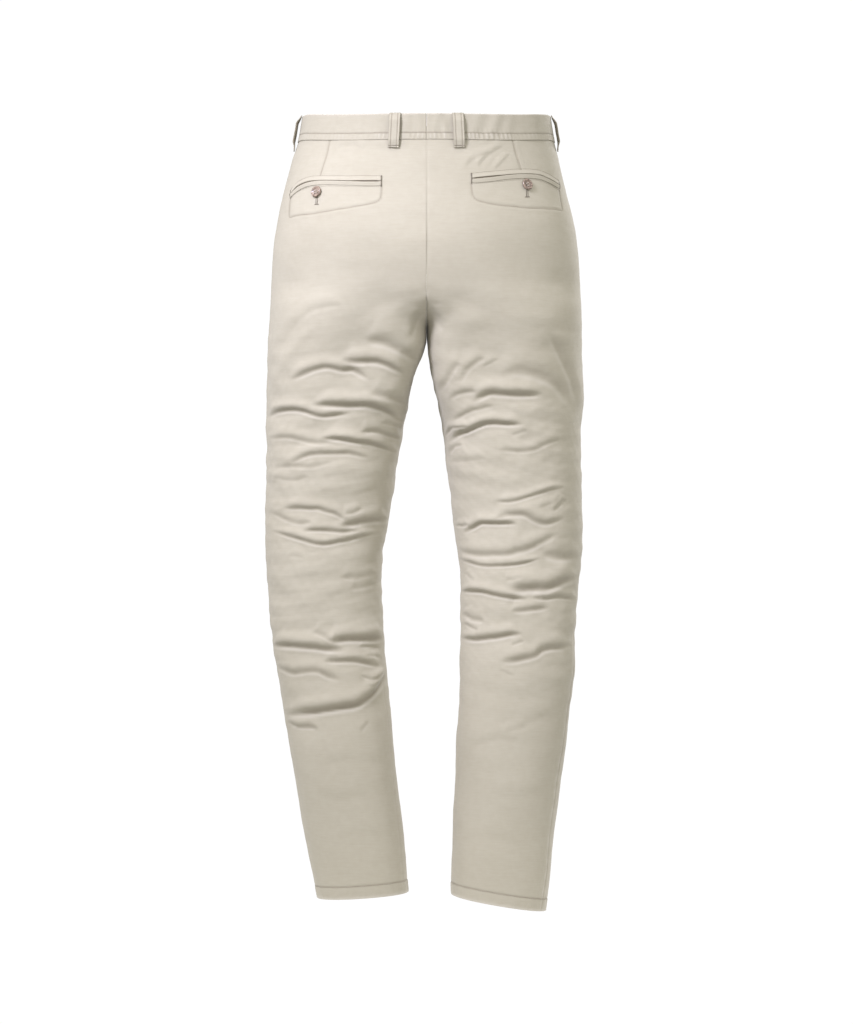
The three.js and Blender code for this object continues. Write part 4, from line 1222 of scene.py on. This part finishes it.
for legName, leg in legs.items():
    Name = legName.capitalize()
    backPanel, frontPanel, band = panels["back", legName], panels["front", legName], waistbands[legName]

    # round the waistband, above its seam
    begin = -waistband["overlap"] + 2 if legName == "left" else 2
    whole = band["length"] * 1000 - (waistband["overlap"] if legName == "left" else waistband["underlap"])
    a = bandAngles(leg, begin, whole - 1.5, 260)
    sew(f"bandStitches{Name}", [layOn([band], leg, a, np.full(len(a), bandSeam + waistband["stitchRise"]))])

    # two rows on each belt loop, and a dense bar at each end
    rows, bars = [], []
    for place in loopPlaces:
        loop, angle = beltLoops[place, legName], loopAngles[place, legName]
        _, z, lifts = loopPath(leg, angle, loopBow[place], 40)
        for across in (-loops["rowAt"], loops["rowAt"]):
            spot = angleAfter(leg, angle, 0, across)
            rows.append(layOn([loop], leg, np.full(36, spot), z[2:-2], lift=lifts[2:-2] + 2.4))
        low = bandSeam - loops["drop"] + 2.2
        for level in (low, low + 0.7):
            spots = [angleAfter(leg, angle, 0, s) for s in np.linspace(-6.2, 6.2, 14)]
            bars.append(layOn([loop], leg, spots, np.full(14, level), lift=3.2))
    sew(f"loopStitches{Name}", rows, "loop")
    sew(f"loopBars{Name}", bars, "loopBar")

    # back pocket: edge stitching over and under the welts, the bag's outline, and the end bars
    runs = np.linspace(0.5, pocket["length"] - 0.5, 90)
    rows = []
    for drop in (pocket["rowAbove"], pocket["rowBelow"]):
        rows.append(layPlaces([backPanel], leg, [backPlace(legName, r, drop) for r in runs]))
    rows.append(layOn([backPanel], leg, *bagPath(legName)))
    sew(f"pocketStitches{Name}", rows)
    lips = [welts["upper", legName], welts["lower", legName], backPanel]
    bars = []
    for r in (-0.4, 0.4, pocket["length"] - 0.4, pocket["length"] + 0.4):
        spots = [backPlace(legName, r, d) for d in np.linspace(-7.2, pocket["rowBelow"], 24)]
        bars.append(layPlaces(lips, leg, spots, lift=2.4))
    sew(f"pocketBars{Name}", bars, "pocketBar", threadDark, seed=8)

    # the fine line of the dart, with the knot at its end
    line = smoothPath(darts[legName], 60)
    spots = [backDartAngle(leg, x, z) for x, z in line]
    row = layOn([backPanel], leg, spots, line[:, 1], above=0.0)
    knot = layOn([backPanel], leg, spots[-3:], line[-3:, 1] - 0.6)
    sew(f"dart{Name}", [row, knot], "dart", wobble=0.0)

    # the buttonhole under the pocket's button, with its bar
    run, drop = buttonPlaces[legName]["run"], buttonPlaces[legName]["drop"]
    sides = []
    for off in (-1.1, 1.1):
        spots = [backPlace(legName, run + off, d) for d in np.linspace(drop - 6, drop + 15.6, 36)]
        sides.append(layPlaces([backPanel], leg, spots))
    sew(f"buttonhole{Name}", sides, "buttonhole", threadDark, seed=5)
    spots = [backPlace(legName, run + r, drop + 16.2) for r in np.linspace(-3.2, 3.2, 16)]
    sew(f"buttonholeBar{Name}", [layPlaces([backPanel], leg, spots)], "buttonholeBar", threadDark, seed=6)

    # hem
    hemLine = leg["hem"] + panel["hemFold"]
    turned = float(ringAt(leg, hemLine, "turned"))
    rows = []
    for piece, first, last in ((backPanel, side + turned, turn + turned), (frontPanel, turned, side + turned)):
        rows.append(layOn([piece], leg, np.linspace(first + 0.015, last - 0.015, 150), np.full(150, hemLine)))
    sew(f"hemStitches{Name}", rows, "hem")

    # slanted pocket mouths, with bars at both ends
    rows, bars = [], []
    heights = np.linspace(bandSeam - 1.5, bandSeam - panel["slantDepth"] + 4, 80)
    for inset in (1.6, 6.6):
        rows.append(layOn([frontPanel], leg, [angleAfter(leg, frontEdge(leg, z), z, -inset) for z in heights], heights))
    sew(f"mouthStitches{Name}", rows)
    for level in (bandSeam - 16, bandSeam - panel["slantDepth"] + 12):
        edge = frontEdge(leg, level)
        spots = [angleAfter(leg, edge, level, s) for s in np.linspace(-7, -0.8, 12)]
        bars.append(layOn([frontPanel], leg, spots, np.full(12, level)))
    sew(f"mouthBars{Name}", bars, "mouthBar")

# fly stitching on the left front
leg = legs["left"]
line = smoothPath(flyLine, 70)
spots = [angleAfter(leg, max(float(ringAt(leg, z, "start")), 0), z, x) for x, z in line]
sew("flyStitches", [layOn([panels["front", "left"]], leg, spots, line[:, 1])])

# waist buttonhole, lying along the band from under the button
sides = [layOn([waistbands["left"]], leg, bandAngles(leg, -3, 16, 36), np.full(36, off)) for off in (-0.8, 0.8)]
sew("waistButtonhole", sides, "buttonholeBar", threadDark, seed=5)

# thread through the buttons' holes
for key in buttons:
    rows, placed = [], buttonFrames[key]
    for off in (-0.0015, 0.0015):
        for shift in (-0.00028, 0.00028):
            line = [placed @ Vector((x, off + shift, 0.0021)) for x in np.linspace(-0.0016, 0.0016, 5)]
            rows.append((np.array(line), np.array([placed.to_3x3() @ Vector((0, 0, 1))] * 5)))
    sew(f"{key}ButtonThread", rows, "button", threadPale, wobble=0.15)
print(f"stitches sewn: {sum(len(s.data.polygons) for s in stitches)} faces")


# What rides on what; the part file's own pieces that these stand in for are hidden
clothPieces = [*panels.values(), *facings.values(), *waistbands.values(), *beltLoops.values(), *welts.values()]
for piece in clothPieces + stitches:
    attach(piece, "root")
for piece in buttons.values():
    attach(piece, "root")
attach(flyShield, "root")
for legName in legs:
    for face in ("back", "front"):
        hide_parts(f"{face}_panel_{legName}")
    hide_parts(f"pocket_facing_{legName}")
    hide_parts(f"waistband_{legName}")
    for kind in ("upper", "lower"):
        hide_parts(f"{kind}_welt_{legName}")
    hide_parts(f"pocket_button_{legName}")
    for place in loopPlaces:
        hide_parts(f"belt_loop_{place.lower()}_{legName}")
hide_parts("fly_shield")
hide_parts("waist_button")

# Camera at the photo's viewing angle, behind the trousers
camera = addObject("camera", bpy.data.cameras.new("camera"))
camera.data.lens, camera.data.sensor_width = 133.17, 36
camera.location = (0, 5.0, -0.504)
camera.rotation_euler = (math.pi / 2, 0, math.pi)
bpy.context.scene.camera = camera


studio = {  # where each lamp stands, what it is aimed at, its size, power, colour and spread in degrees
    "keyLight": ((0.92, 1.25, 0.78), (0.03, 0.1, -0.3), 0.5, 2.6, (1.0, 1.0, 1.22), 42),
    "fillLight": ((-1.3, 2.0, -0.05), (-0.09, 0.1, -0.27), 0.3, 0.15, (1.0, 1.0, 1.0), 22),
    "frontLight": ((-1.3, -1.9, 0.7), (0, -0.1, -0.35), 0.5, 3.2, (1.0, 1.0, 1.08), 50),
}
for name, (where, aim, size, power, colour, spread) in studio.items():
    lamp = bpy.data.lights.new(name, "AREA")
    lamp.shape, lamp.size, lamp.energy, lamp.color = "DISK", size, power, colour
    lamp.spread = math.radians(spread)
    light = addObject(name, lamp)
    light.location = where
    light.rotation_euler = (Vector(aim) - Vector(where)).to_track_quat("-Z", "Y").to_euler()

world = bpy.data.worlds.new("studio")
world.use_nodes = True
sky = world.node_tree
direction = addNode(sky, "ShaderNodeTexCoord").outputs["Generated"]
up = addNode(sky, "ShaderNodeSeparateXYZ", {0: direction}).outputs[2]
shade = addNode(sky, "ShaderNodeValToRGB", {"Fac": calc(sky, "ADD", calc(sky, "MULTIPLY", up, 0.5), 0.5)})
setRamp(shade.color_ramp, (0.28, (0.3, 0.3, 0.3)), (0.43, (0.8, 0.8, 0.8)))  # dim from below, white round the horizon
for position, grey in ((0.57, 0.8), (0.75, 1.0)):
    shade.color_ramp.elements.new(position).color = (grey, grey, grey, 1)
feed(sky, sky.nodes["Background"], {"Color": shade.outputs["Color"], "Strength": 1.28})
bpy.context.scene.world = world
bpy.context.scene.view_settings.view_transform = "Standard"

floorMaterial, floorTree, shader = newMaterial("paleFloor")
feed(floorTree, shader, {"Base Color": (0.99, 0.99, 0.99, 1), "Roughness": 0.9})
floorMesh = bpy.data.meshes.new("floor")
ring = [(0.5 * math.cos(t), 0.5 * math.sin(t), -1.16) for t in np.linspace(0, 2 * math.pi, 64, endpoint=False)]
floorMesh.from_pydata(ring, [], [list(range(64))])
floorMesh.materials.append(floorMaterial)
addObject("floor", floorMesh)
